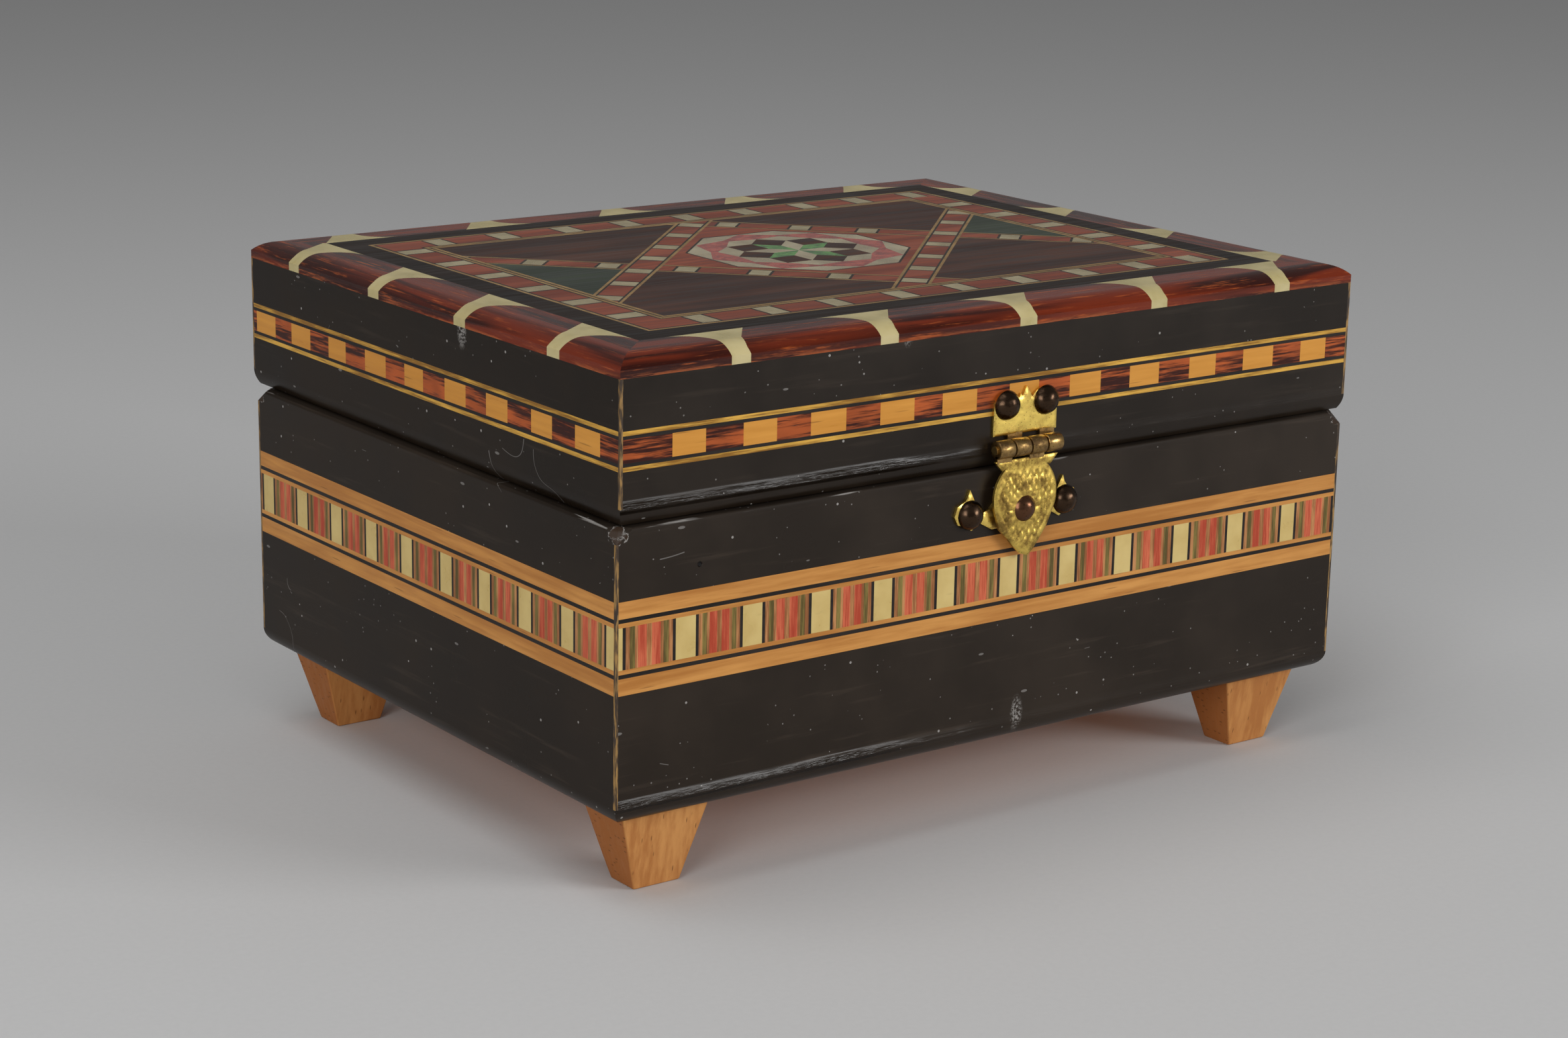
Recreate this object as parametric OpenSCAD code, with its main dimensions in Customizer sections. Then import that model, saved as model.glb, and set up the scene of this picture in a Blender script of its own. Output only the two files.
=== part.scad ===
// Inlaid wooden box: a black-lacquered footed box with marquetry bands and a hinged lid
// that closes with a small brass hasp. Millimetres, +Z up, the hasp on the -Y side.
// The origin is the middle of the floor rectangle that the four feet stand on.

/* [Body] */
// Outside width of the body, left to right
box_w = 150; // [140:1:160]
// Outside depth of the body, front to back
box_d = 114; // [106:1:122]
// Height of the body walls
body_h = 46.5; // [42:0.5:56]
// Thickness of the body and lid walls
wall_t = 7; // [6:0.5:8]
// Thickness of the bottom panel
bottom_t = 5; // [4:0.5:6]
// Radius of the rounded lower edge of the body
body_edge_r = 3; // [1:0.5:4]
// Height of the worn-off upper corners of the body
wear_h = 2.2; // [2.1:0.1:3]

/* [Feet] */
// Height of the feet
foot_h = 13.5; // [8:0.5:18]
// Size of a foot where it meets the body, along the width
foot_top_w = 16.3; // [12:0.1:20]
// Size of a foot where it meets the body, along the depth
foot_top_d = 11.6; // [9:0.1:15]
// How far each side of a foot slopes in along the width
foot_taper_w = 3.85; // [1:0.05:5]
// How far each side of a foot slopes in along the depth
foot_taper_d = 2.6; // [1:0.05:4]
// Inset of the feet from the sides of the body
foot_inset = 3.8; // [3.2:0.1:8]

/* [Lid] */
// Outside width of the lid
lid_w = 150; // [140:1:160]
// Outside depth of the lid
lid_d = 116.6; // [108.4:0.2:124.4]
// Height of the lacquered lid walls
lid_wall_h = 22.2; // [20:0.2:28]
// Thickness of the top board of the lid
lid_board_t = 3; // [2:0.5:4]
// The lid sits this far to the right of the body
lid_shift_x = 0.9; // [0:0.1:1]
// The lid sits this far behind the body
lid_shift_y = 1.7; // [1.3:0.1:1.9]
// Gap between the body and the closed lid
lid_gap = 0.3; // [0.2:0.05:0.5]
// Height of the curved-in lower edge of the lid
lid_edge_h = 2.6; // [2:0.1:3.2]
// How far the lower edge of the lid curves in
lid_edge_in = 0.8; // [0.6:0.1:1.2]

/* [Moulding] */
// Width of the mahogany moulding round the lid top
mould_w = 9.6; // [9:0.1:12]
// Height of the moulding
mould_h = 3.1; // [2.6:0.1:4]
// Height of the upright strip at the outer edge of the moulding
mould_lip = 1.35; // [0.8:0.05:1.6]
// Radius of the rounded shoulder of the moulding
mould_r = 5.5; // [4:0.1:8]

/* [Marquetry] */
// Thickness of every inlaid piece
veneer_t = 0.5; // [0.4:0.1:0.8]
// Spacing of the bone tiles along the body bands
tile_pitch = 12.6; // [11:0.1:14]
// Width of a bone tile in the body bands
tile_w = 3.4; // [2.5:0.1:4.5]
// Spacing of the light blocks along the lid bands
block_pitch = 12.9; // [11:0.1:15]
// Length of a light block in the lid bands
block_w = 6.5; // [5:0.1:8]
// Half the diagonal of the diamond on the lid top, to the middle of its bands
lattice_c = 32.4; // [31.4:0.1:33.4]
// Side of the small diamonds in the star
star_s = 5.26; // [4.5:0.05:5.6]
// The diamond and the star sit this far right of the middle of the lid
lattice_x = 1.2; // [-1.5:0.1:1.5]
// The diamond and the star sit this far behind the middle of the lid
lattice_y = 1.6; // [-1.7:0.1:1.7]

/* [Hasp] */
// Width of the hasp leaf
hasp_w = 13.4; // [12:0.1:15]
// Middle of the hasp, right of the middle of the body
hasp_x = 2.6; // [-3:0.1:4]
// Outside radius of the hasp barrel
barrel_r = 1.5; // [1.3:0.05:1.7]
// Thickness of the brass sheet
sheet_t = 0.6; // [0.4:0.05:0.7]
// Radius of the domed nail heads
dome_r = 2.45; // [2:0.05:2.6]

/* [Back hinges] */
// Distance of each hinge from the middle of the body
hinge_x = 42; // [30:1:55]
// Length of each hinge
hinge_len = 18; // [14:1:22]
// Outside radius of the hinge barrels
hinge_r = 1.3; // [1.2:0.05:1.4]
// The hinge axis is this far behind the back face of the body
hinge_out = 0.3; // [0.2:0.05:0.4]
// Radius of the rounded top edge of the back wall
back_edge_r = 1.5; // [1.3:0.1:2]

/* [Hidden] */
$fn = 64;
eps = 0.01;
body_z0 = foot_h;
body_z1 = foot_h + body_h;
lid_z0 = body_z1 + lid_gap;
lid_z1 = lid_z0 + lid_wall_h;
top_z = lid_z1 + mould_h;
veneer_z = top_z - veneer_t;
front_y = -box_d / 2;
lid_front_y = lid_shift_y - lid_d / 2;

// Body bands: heights of the layers from the bottom of the band up
band_z0 = body_z0 + 20.85;
band_wood_h = 2.65;
band_line_h = 0.65;
band_fine_h = 0.7;
band_tile_h = 6.57;
band_line_z0 = band_z0 + band_wood_h;
band_fine_z0 = band_line_z0 + band_line_h;
band_tile_z0 = band_fine_z0 + band_fine_h;
band_fine_z1 = band_tile_z0 + band_tile_h;
band_line_z1 = band_fine_z1 + band_fine_h;
band_wood_z1 = band_line_z1 + band_line_h;
band_z1 = band_wood_z1 + band_wood_h;
bar_w = 0.55;
corner_e = veneer_t;
top_edge_r = 0.4;
wear_w = 3.2;
// First bone tile on each side, and the spacing there: front, right, back, left
TILE_FIRST = [0.5 - 6 * tile_pitch, -53.8, 0.5 - 6 * tile_pitch, -53.8];
TILE_PITCH = [tile_pitch, 12.2, tile_pitch, 12.2];
// One striped tile between two bone tiles, from end to end: colour and width
STRIPES = [["tan", 0.7], ["olive", 0.9], ["tan", 0.5], ["red", 1.5], ["tan", 0.9],
    ["red", 1.5], ["tan", 0.5], ["olive", 0.9], ["tan", 0.7]];

// Lid bands: layer heights
lid_band_z0 = lid_z0 + 8.25;
lid_gold_h = 0.7;
lid_line_h = 0.55;
lid_block_h = 3.6;
lid_line_z0 = lid_band_z0 + lid_gold_h;
lid_block_z0 = lid_line_z0 + lid_line_h;
lid_line_z1 = lid_block_z0 + lid_block_h;
lid_gold_z1 = lid_line_z1 + lid_line_h;
lid_band_z1 = lid_gold_z1 + lid_gold_h;
BLOCK_FIRST = [2 - 5 * block_pitch, -53.2, 2 - 5 * block_pitch, -53.2];
BLOCK_PITCH = [block_pitch, 12.84, block_pitch, 12.84];

// Lid top: distances from the inner edge of the moulding to each layer
panel_x = lid_w / 2 - mould_w;
panel_y = lid_d / 2 - mould_w;
ebony_w = 5.2;
outer_gold_w = 0.6;
outer_dark_w = 0.4;
row_w = 5.6;
row_in = ebony_w + outer_gold_w + outer_dark_w;
inner_in = row_in + row_w;
field_in = inner_in + 2;
field_x = panel_x - field_in;
field_y = panel_y - field_in;
row_bone_w = 3.6;
row_bar_w = 0.45;

// Lattice bands on the lid top: half widths of the tiles and of the lines beside them
lattice_tile = 2.1;
lattice_dark = lattice_tile + 0.35;
lattice_half = lattice_dark + 0.5;
lattice_off = lattice_half * sqrt(2);
lattice_bone_w = 3.4;
// Each lattice band: kind, side, middle of its first bone tile and the spacing of the tiles
LATTICE = [["A", 1, -50.5, 11.95], ["A", -1, -23.5, 11.8], ["B", 1, -41.9, 13],
    ["B", -1, -16.2, 12.65]];

// Rosette radii
star_tip = 2 * star_s * cos(22.5);
square_tip = star_s * (1 + sqrt(2));
kite_tip = square_tip + 1.7;
ring_in = kite_tip + 1.2;
oct_r = 18.2;
oct_tip = oct_r / cos(22.5);
oct_line_r = oct_r + 0.4;

// Bone hooks in the moulding
hook_w = 14.4;
hook_foot_s = 5.7;
hook_foot_w = 3.5;
HOOK_FIRST = [-60.9, -47.4, -60.9, -47.4];
HOOK_PITCH = [28, 27.5, 28, 27.5];
HOOK_COUNT = [5, 4, 5, 4];

// Hasp
barrel_y = lid_front_y - 0.3 - barrel_r;
barrel_z = lid_z0 + 3;
hasp_pin_r = 0.7;
knuckle_n = 4;
knuckle_gap = 0.3;
knuckle_pitch = hasp_w / knuckle_n;
nail_dx = 4.05;
hasp_nail_z = lid_z0 + 9.8;
nail_h = 1.9;
nail_shank_r = 0.6;
nail_len = 5;
flap_y = barrel_y - 0.2;
flap_top = barrel_z - barrel_r - 0.35;
knob_x = -0.5;
knob_z = body_z0 + 39.7;
knob_r = 2.3;
knob_h = 1.5;
keeper_x = hasp_x - 1.1;
keeper_z = body_z0 + 39.6;
keeper_dx = 9.85;

// Back hinges
hinge_y = box_d / 2 + hinge_out;
hinge_z = body_z1 + lid_gap / 2;
hinge_leaf_t = 0.5;
hinge_leaf_d = 4.2;
hinge_pin_r = 0.6;
hinge_clear = 0.35;
pin_play = 0.05;

// Lining
lining_t = 1.2;
pad_t = 2.4;
in_x = box_w / 2 - wall_t;
in_y = box_d / 2 - wall_t;
lid_in_x = lid_w / 2 - wall_t;
lid_in_y = lid_d / 2 - wall_t;

// Small differences between hand-cut pieces
WOBBLE = rands(-0.28, 0.28, 64, 11);

function polar(r, a) = [r * cos(a), r * sin(a)];
function wobble(k) = WOBBLE[(round(k) + 64) % 64];

// ---------- placing ----------

// Side i of a w by d box: 0 front, 1 right, 2 back, 3 left.
// Local X runs along the side, local Y points into the box.
module on_side(i, w, d) {
    rotate([0, 0, 90 * i])
        translate([0, -(i % 2 == 0 ? d : w) / 2, 0])
            children();
}

module on_lid() {
    translate([lid_shift_x, lid_shift_y, 0])
        children();
}

function side_len(i, w, d) = i % 2 == 0 ? w : d;

// Half-length left for inlay between the corner edges
function inlay_half(i, w, d) = side_len(i, w, d) / 2 - corner_e;

// A box along X from x0 to x1, cut off at plus and minus half
module strip(x0, x1, half, y, z, depth, h) {
    a = max(x0, -half);
    b = min(x1, half);
    if (b - a > 0.12)
        translate([a, y, z])
            cube([b - a, depth, h]);
}

module plate2(hx, hy) {
    square([2 * hx, 2 * hy], center = true);
}

module ring2(in0, in1) {
    difference() {
        plate2(panel_x - in0, panel_y - in0);
        plate2(panel_x - in1, panel_y - in1);
    }
}

// ---------- walls ----------

// What a rounded corner takes away from a profile whose corner is at the origin
module corner_waste(r) {
    difference() {
        translate([-1, -1])
            square(r + 1);
        translate([r, r])
            circle(r);
    }
}

// Wall profiles: X from the outer face inwards, Y up
module body_profile(high_r) {
    difference() {
        translate([0, body_z0])
            square([wall_t, body_h]);
        translate([0, body_z0])
            corner_waste(body_edge_r);
        translate([0, body_z1])
            mirror([0, 1])
                corner_waste(high_r);
    }
}

// The lower edge of the lid is a flat curve that ends in a sharp arris
module lid_profile() {
    r = (lid_edge_h * lid_edge_h + lid_edge_in * lid_edge_in) / (2 * lid_edge_in);
    difference() {
        translate([0, lid_z0])
            square([wall_t, lid_wall_h]);
        translate([0, lid_z0])
            difference() {
                translate([-1, -1])
                    square([lid_edge_in + 1, lid_edge_h + 1]);
                translate([r, lid_edge_h])
                    circle(r, $fn = 128);
            }
    }
}

// A wall with mitred ends
module mitred(len, depth, z0, z1) {
    intersection() {
        rotate([90, 0, 90])
            linear_extrude(len, center = true)
                children();
        translate([0, 0, z0])
            linear_extrude(z1 - z0)
                polygon([[-len / 2, 0], [len / 2, 0], [len / 2 - depth, depth],
                    [-len / 2 + depth, depth]]);
    }
}

module corner_edges(w, d, z0, z1) {
    for (sx = [-1, 1], sy = [-1, 1])
        translate([sx * (w - corner_e) / 2, sy * (d - corner_e) / 2, (z0 + z1) / 2])
            cube([corner_e, corner_e, z1 - z0], center = true);
}

module body_corner_strips() {
    corner_edges(box_w, box_d, body_z0 + body_edge_r, body_z1 - wear_h);
}

module lid_corner_strips() {
    corner_edges(lid_w, lid_d, lid_z0 + lid_edge_h, lid_z1);
}

// What wear has taken from the four upper corners of the body
module corner_wear() {
    reach = wear_w / sqrt(2);
    for (sx = [-1, 1], sy = [-1, 1])
        translate([sx * box_w / 2, sy * box_d / 2, body_z1])
            rotate([0, 0, atan2(sy, sx)])
                translate([-reach, 0, 0])
                    rotate([0, atan(wear_h / reach), 0])
                        translate([-2, -6, 0])
                            cube([10, 12, 5]);
}

module body_wall(i) {
    len = side_len(i, box_w, box_d);
    difference() {
        on_side(i, box_w, box_d)
            difference() {
                mitred(len, wall_t, body_z0, body_z1)
                    body_profile(i == 2 ? back_edge_r : top_edge_r);
                translate([-len / 2, -1, band_z0])
                    cube([len, 1 + veneer_t, band_z1 - band_z0]);
            }
        body_corner_strips();
        corner_wear();
    }
}

module lid_wall(i) {
    len = side_len(i, lid_w, lid_d);
    difference() {
        on_side(i, lid_w, lid_d)
            difference() {
                mitred(len, wall_t, lid_z0, lid_z1)
                    lid_profile();
                translate([-len / 2, -1, lid_band_z0])
                    cube([len, 1 + veneer_t, lid_band_z1 - lid_band_z0]);
            }
        lid_corner_strips();
    }
}

module front_wall() {
    color("#1d1815")
        difference() {
            body_wall(0);
            keeper_nail_shapes();
        }
}

module back_wall() {
    color("#1d1815")
        difference() {
            body_wall(2);
            hinge_pockets();
            base_leaf_shapes(hinge_leaf_t);
            base_hinge_nail_shapes();
        }
}

module left_wall() {
    color("#1d1815")
        body_wall(3);
}

module right_wall() {
    color("#1d1815")
        body_wall(1);
}

module bottom_panel() {
    color("#6e3a20")
        translate([-in_x, -in_y, body_z0])
            cube([2 * in_x, 2 * in_y, bottom_t]);
}

module body_corner_edges() {
    color("#7a5a34")
        body_corner_strips();
}

module lid_corner_edges() {
    color("#7a5a34")
        on_lid()
            lid_corner_strips();
}

// ---------- feet ----------

// One foot, sx and sy choose the corner. Two sloped prisms cross to make the taper.
module foot(sx, sy) {
    hx = foot_top_w / 2;
    hy = foot_top_d / 2;
    color("#b9783f")
        translate([sx * (box_w / 2 - foot_inset - hx), sy * (box_d / 2 - foot_inset - hy), 0])
            intersection() {
                rotate([90, 0, 0])
                    linear_extrude(foot_top_d, center = true)
                        polygon([[-hx + foot_taper_w, 0], [hx - foot_taper_w, 0],
                            [hx, foot_h], [-hx, foot_h]]);
                rotate([90, 0, 90])
                    linear_extrude(foot_top_w, center = true)
                        polygon([[-hy + foot_taper_d, 0], [hy - foot_taper_d, 0],
                            [hy, foot_h], [-hy, foot_h]]);
            }
}

// ---------- body bands ----------

module band_layer(z, h) {
    for (i = [0:3])
        on_side(i, box_w, box_d) {
            half = inlay_half(i, box_w, box_d);
            strip(-half, half, half, 0, z, veneer_t, h);
        }
}

module band_satinwood() {
    color("#c58a4a") {
        band_layer(band_z0, band_wood_h);
        band_layer(band_wood_z1, band_wood_h);
    }
}

module band_fine_lines() {
    color("#d09a5c") {
        band_layer(band_fine_z0, band_fine_h);
        band_layer(band_fine_z1, band_fine_h);
    }
}

// Middle and half width of bone tile k on side i
function tile_mid(i, k) = TILE_FIRST[i] + k * TILE_PITCH[i] + wobble(k + 5 * i);
function tile_half(i, k) = tile_w / 2 + 0.5 * wobble(3 * k + i);
function tile_count(i) = ceil(side_len(i, box_w, box_d) / TILE_PITCH[i]) + 1;
function stripe_start(n) = n == 0 ? 0 : stripe_start(n - 1) + STRIPES[n - 1][1];
stripes_w = stripe_start(len(STRIPES));

module tile_strip(i, x0, x1) {
    strip(x0, x1, inlay_half(i, box_w, box_d), 0, band_tile_z0, veneer_t, band_tile_h);
}

module bone_tiles() {
    for (i = [0:3])
        on_side(i, box_w, box_d)
            for (k = [-1:tile_count(i)])
                tile_strip(i, tile_mid(i, k) - tile_half(i, k), tile_mid(i, k) + tile_half(i, k));
}

module ebony_bars() {
    for (i = [0:3])
        on_side(i, box_w, box_d)
            for (k = [-1:tile_count(i)]) {
                x0 = tile_mid(i, k) - tile_half(i, k);
                x1 = tile_mid(i, k) + tile_half(i, k);
                tile_strip(i, x0 - bar_w, x0);
                tile_strip(i, x1, x1 + bar_w);
            }
}

// The stripes of one colour in every striped tile
module stripes(colour) {
    for (i = [0:3])
        on_side(i, box_w, box_d)
            for (k = [-1:tile_count(i)]) {
                x0 = tile_mid(i, k) + tile_half(i, k) + bar_w;
                x1 = tile_mid(i, k + 1) - tile_half(i, k + 1) - bar_w;
                scale_x = (x1 - x0) / stripes_w;
                for (n = [0:len(STRIPES) - 1])
                    if (STRIPES[n][0] == colour)
                        tile_strip(i, x0 + scale_x * stripe_start(n),
                            x0 + scale_x * stripe_start(n + 1));
            }
}

module band_bone_tiles() {
    color("#cbbf86")
        bone_tiles();
}

module band_ebony() {
    color("#1a1614") {
        band_layer(band_line_z0, band_line_h);
        band_layer(band_line_z1, band_line_h);
        ebony_bars();
    }
}

module band_red_stripes() {
    color("#c4553f")
        stripes("red");
}

module band_olive_stripes() {
    color("#77683a")
        stripes("olive");
}

module band_tan_stripes() {
    color("#b5824f")
        stripes("tan");
}

// ---------- lid walls and bands ----------

module lid_front_wall() {
    color("#1d1815")
        difference() {
            on_lid()
                lid_wall(0);
            hasp_nail_shapes();
        }
}

module lid_back_wall() {
    color("#1d1815")
        difference() {
            on_lid()
                lid_wall(2);
            hinge_pockets();
            barrel_notches();
            lid_leaf_shapes(hinge_leaf_t);
            lid_hinge_nail_shapes();
        }
}

module lid_left_wall() {
    color("#1d1815")
        on_lid()
            lid_wall(3);
}

module lid_right_wall() {
    color("#1d1815")
        on_lid()
            lid_wall(1);
}

// Top board: the lower step fits between the walls, the upper step fills the moulding
module lid_board() {
    color("#5b4030")
        on_lid() {
            translate([-lid_in_x, -lid_in_y, lid_z1 - lid_board_t])
                cube([2 * lid_in_x, 2 * lid_in_y, lid_board_t]);
            translate([-panel_x, -panel_y, lid_z1])
                cube([2 * panel_x, 2 * panel_y, mould_h - veneer_t]);
        }
}

module lid_layer(z, h) {
    difference() {
        on_lid()
            for (i = [0:3])
                on_side(i, lid_w, lid_d) {
                    half = inlay_half(i, lid_w, lid_d);
                    strip(-half, half, half, 0, z, veneer_t, h);
                }
        hasp_nail_shapes();
    }
}

module lid_gold_lines() {
    color("#c9943e") {
        lid_layer(lid_band_z0, lid_gold_h);
        lid_layer(lid_gold_z1, lid_gold_h);
    }
}

module lid_ebony_lines() {
    color("#1a1614") {
        lid_layer(lid_line_z0, lid_line_h);
        lid_layer(lid_line_z1, lid_line_h);
    }
}

function block_mid(i, k) = BLOCK_FIRST[i] + k * BLOCK_PITCH[i] + wobble(2 * k + 7 * i);
function block_half(i, k) = block_w / 2 + wobble(5 * k + 3 * i);
function block_count(i) = ceil(side_len(i, lid_w, lid_d) / BLOCK_PITCH[i]) + 1;

module lid_block(i, x0, x1) {
    strip(x0, x1, inlay_half(i, lid_w, lid_d), 0, lid_block_z0, veneer_t, lid_block_h);
}

module lid_light_blocks() {
    color("#cf9a58")
        difference() {
            on_lid()
                for (i = [0:3])
                    on_side(i, lid_w, lid_d)
                        for (k = [0:block_count(i)])
                            lid_block(i, block_mid(i, k) - block_half(i, k),
                                block_mid(i, k) + block_half(i, k));
            hasp_nail_shapes();
        }
}

module lid_mahogany_blocks() {
    color("#5f2a18")
        difference() {
            on_lid()
                for (i = [0:3])
                    on_side(i, lid_w, lid_d)
                        for (k = [-1:block_count(i)])
                            lid_block(i, k < 0 ? -lid_w : block_mid(i, k) + block_half(i, k),
                                block_mid(i, k + 1) - block_half(i, k + 1));
            hasp_nail_shapes();
        }
}

// ---------- moulding and hooks ----------

// Profile: X from the outer edge inwards, Y up from the lid wall
module mould_profile() {
    drop = mould_h - mould_lip;
    shoulder = sqrt(mould_r * mould_r - pow(mould_r - drop, 2));
    translate([shoulder, 0])
        square([mould_w - shoulder, mould_h]);
    intersection() {
        square([shoulder + eps, mould_h]);
        translate([shoulder, mould_h - mould_r])
            circle(mould_r, $fn = 128);
    }
}

module mould_bar(i) {
    translate([0, 0, lid_z1])
        mitred(side_len(i, lid_w, lid_d), mould_w, 0, mould_h)
            mould_profile();
}

// Outline of one hook: it starts at the inner edge of the moulding and narrows to its foot.
// X along the side, Y from the outer edge inwards.
module hook_outline() {
    r = hook_foot_s;
    difference() {
        polygon([[0, mould_w], [0, mould_w - r], [r, mould_w - r], [r, -1],
            [r + hook_foot_w, -1], [r + hook_foot_w, 1], [r + hook_foot_w + 1, 4],
            [hook_w, mould_w]]);
        translate([0, mould_w - r])
            circle(r);
    }
}

module hook_prisms(i) {
    // The feet lean to the left on the front and to the front on the left side. The back and
    // the right side are the same, turned half round.
    flip = i % 2 == 0 ? 1 : -1;
    for (k = [0:HOOK_COUNT[i] - 1])
        scale([flip, 1, 1])
            translate([HOOK_FIRST[i] + k * HOOK_PITCH[i], 0, lid_z1 - 1])
                linear_extrude(mould_h + 2)
                    hook_outline();
}

module hooks(i) {
    on_side(i, lid_w, lid_d)
        intersection() {
            mould_bar(i);
            hook_prisms(i);
        }
}

module moulding(i) {
    color("#6b2614")
        on_lid()
            on_side(i, lid_w, lid_d)
                difference() {
                    mould_bar(i);
                    hook_prisms(i);
                }
}

module bone_hooks() {
    color("#cdc08a")
        on_lid()
            for (i = [0:3])
                hooks(i);
}

// ---------- lid top ----------

module veneer() {
    on_lid()
        translate([0, 0, veneer_z])
            linear_extrude(veneer_t)
                children();
}

module top_ebony_border() {
    color("#2a2422")
        veneer()
            ring2(0, ebony_w);
}

// Bands A rise to the right and run through, bands B fall to the right and stop at A.
// half is the half width of the strip, side is 1 for the left band and -1 for the right one.
module lattice_strip(kind, side, lo, hi) {
    turn = kind == "A" ? 45 : -45;
    shift = kind == "A" ? side : -side;
    rotate([0, 0, turn])
        translate([-2 * box_w, shift * lattice_c / sqrt(2) + lo])
            square([4 * box_w, hi - lo]);
}

module at_lattice() {
    translate([lattice_x, lattice_y])
        children();
}

module in_field() {
    intersection() {
        at_lattice()
            children();
        plate2(field_x, field_y);
    }
}

module bands_a(half) {
    for (side = [-1, 1])
        lattice_strip("A", side, -half, half);
}

module clear_of_a(kind) {
    difference() {
        children();
        if (kind == "B")
            bands_a(lattice_half);
    }
}

// The two lines lo to hi from the middle of every lattice band, on both sides
module lattice_lines(lo, hi) {
    in_field()
        for (kind = ["A", "B"], side = [-1, 1])
            clear_of_a(kind) {
                lattice_strip(kind, side, lo, hi);
                lattice_strip(kind, side, -hi, -lo);
            }
}

// Pieces x0 to x1 along lattice band b, measured from the foot of the perpendicular
module lattice_piece(b, x0, x1) {
    kind = b[0];
    side = b[1];
    turn = kind == "A" ? 45 : -45;
    shift = kind == "A" ? side : -side;
    rotate([0, 0, turn])
        translate([x0, shift * lattice_c / sqrt(2) - lattice_tile])
            square([x1 - x0, 2 * lattice_tile]);
}

function lattice_mid(b, k) = b[2] + k * b[3] + 1.5 * wobble(k + 9 * b[3]);

// part is bone, bar or red
module lattice_tiles(part) {
    h = lattice_bone_w / 2;
    bar = h + row_bar_w;
    in_field()
        for (b = LATTICE, k = [-1:8])
            clear_of_a(b[0]) {
                m = lattice_mid(b, k);
                if (part == "bone")
                    lattice_piece(b, m - h, m + h);
                if (part == "bar") {
                    lattice_piece(b, m - bar, m - h);
                    lattice_piece(b, m + h, m + bar);
                }
                if (part == "red")
                    lattice_piece(b, m + bar, lattice_mid(b, k + 1) - bar);
            }
}

// Border rows: 0 front, 1 right, 2 back, 3 left. Front and back run to the corners.
ROW_FIRST = [-47.6, -26.8, -48.4, -31.6];
ROW_PITCH = [12.83, 13.3, 13.05, 13.1];
row_x = panel_x - row_in;
row_y = panel_y - row_in;
function row_half(i) = i % 2 == 0 ? row_x : row_y - row_w;
function row_mid(i, k) = ROW_FIRST[i] + k * ROW_PITCH[i] + wobble(k + 13 * i);
function row_bone_half(i, k) = row_bone_w / 2 + 0.6 * wobble(2 * k + 11 * i);

module row_piece(i, a, b) {
    half = row_half(i);
    x0 = max(a, -half);
    x1 = min(b, half);
    across = i == 0 ? -row_y : i == 2 ? row_y - row_w : i == 1 ? row_x - row_w : -row_x;
    if (x1 - x0 > 0.15) {
        if (i % 2 == 0)
            translate([x0, across])
                square([x1 - x0, row_w]);
        else
            translate([across, x0])
                square([row_w, x1 - x0]);
    }
}

// part is bone or bar
module row_marks(part) {
    for (i = [0:3], k = [0:8]) {
        m = row_mid(i, k);
        h = row_bone_half(i, k);
        if (part == "bone")
            row_piece(i, m - h, m + h);
        if (part == "bar") {
            row_piece(i, m - h - row_bar_w, m - h);
            row_piece(i, m + h, m + h + row_bar_w);
        }
    }
}

module row_reds() {
    difference() {
        for (i = [0:3])
            row_piece(i, -box_w, box_w);
        row_marks("bone");
        row_marks("bar");
    }
}

module top_gold_lines() {
    color("#a58a55")
        veneer() {
            ring2(ebony_w, ebony_w + outer_gold_w);
            ring2(inner_in + 0.4, inner_in + 1);
            ring2(inner_in + 1.35, field_in);
            lattice_lines(lattice_dark, lattice_half);
        }
}

module octagon(r) {
    rotate([0, 0, 22.5])
        circle(r / cos(22.5), $fn = 8);
}

module top_dark_lines() {
    color("#2b2019")
        veneer() {
            ring2(ebony_w + outer_gold_w, row_in);
            ring2(inner_in, inner_in + 0.4);
            ring2(inner_in + 1, inner_in + 1.35);
            lattice_lines(lattice_tile, lattice_dark);
            lattice_tiles("bar");
            row_marks("bar");
            at_lattice()
                difference() {
                    octagon(oct_line_r);
                    octagon(oct_r);
                }
        }
}

module top_red_blocks() {
    color("#8d4a38")
        veneer() {
            row_reds();
            lattice_tiles("red");
        }
}

module top_bone_blocks() {
    color("#b5aa83")
        veneer() {
            row_marks("bone");
            lattice_tiles("bone");
        }
}

// The panels run from the sides of the diamond out to the corners of the field
module top_brown_panels() {
    far = box_w;
    color("#46302a")
        veneer()
            in_field()
                for (sx = [-1, 1], sy = [-1, 1])
                    polygon([[sx * lattice_c, sy * lattice_off],
                        [sx * lattice_off, sy * lattice_c],
                        [sx * (lattice_off + far), sy * (lattice_c + far)],
                        [sx * (lattice_c + far), sy * (lattice_off + far)]]);
}

module top_green_panels() {
    tip = lattice_c + lattice_off;
    far = box_w;
    color("#2f3b34")
        veneer()
            in_field()
                for (sx = [-1, 1])
                    polygon([[sx * tip, 0], [sx * (tip + far), far], [sx * (tip + far), -far]]);
}

module top_rose_panels() {
    c = lattice_c - lattice_off;
    color("#754638")
        veneer()
            at_lattice()
                difference() {
                    polygon([[c, 0], [0, c], [-c, 0], [0, -c]]);
                    octagon(oct_line_r);
                }
}

// ---------- rosette ----------

module rosette() {
    veneer()
        at_lattice()
            children();
}

// Every second diamond of the star, starting with diamond first
module star_diamonds(first) {
    for (k = [first:2:7]) {
        a = 22.5 + 45 * k;
        polygon([[0, 0], polar(star_s, a - 22.5), polar(star_tip, a), polar(star_s, a + 22.5)]);
    }
}

module rosette_green() {
    color("#4c7d3c")
        rosette()
            star_diamonds(0);
}

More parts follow.
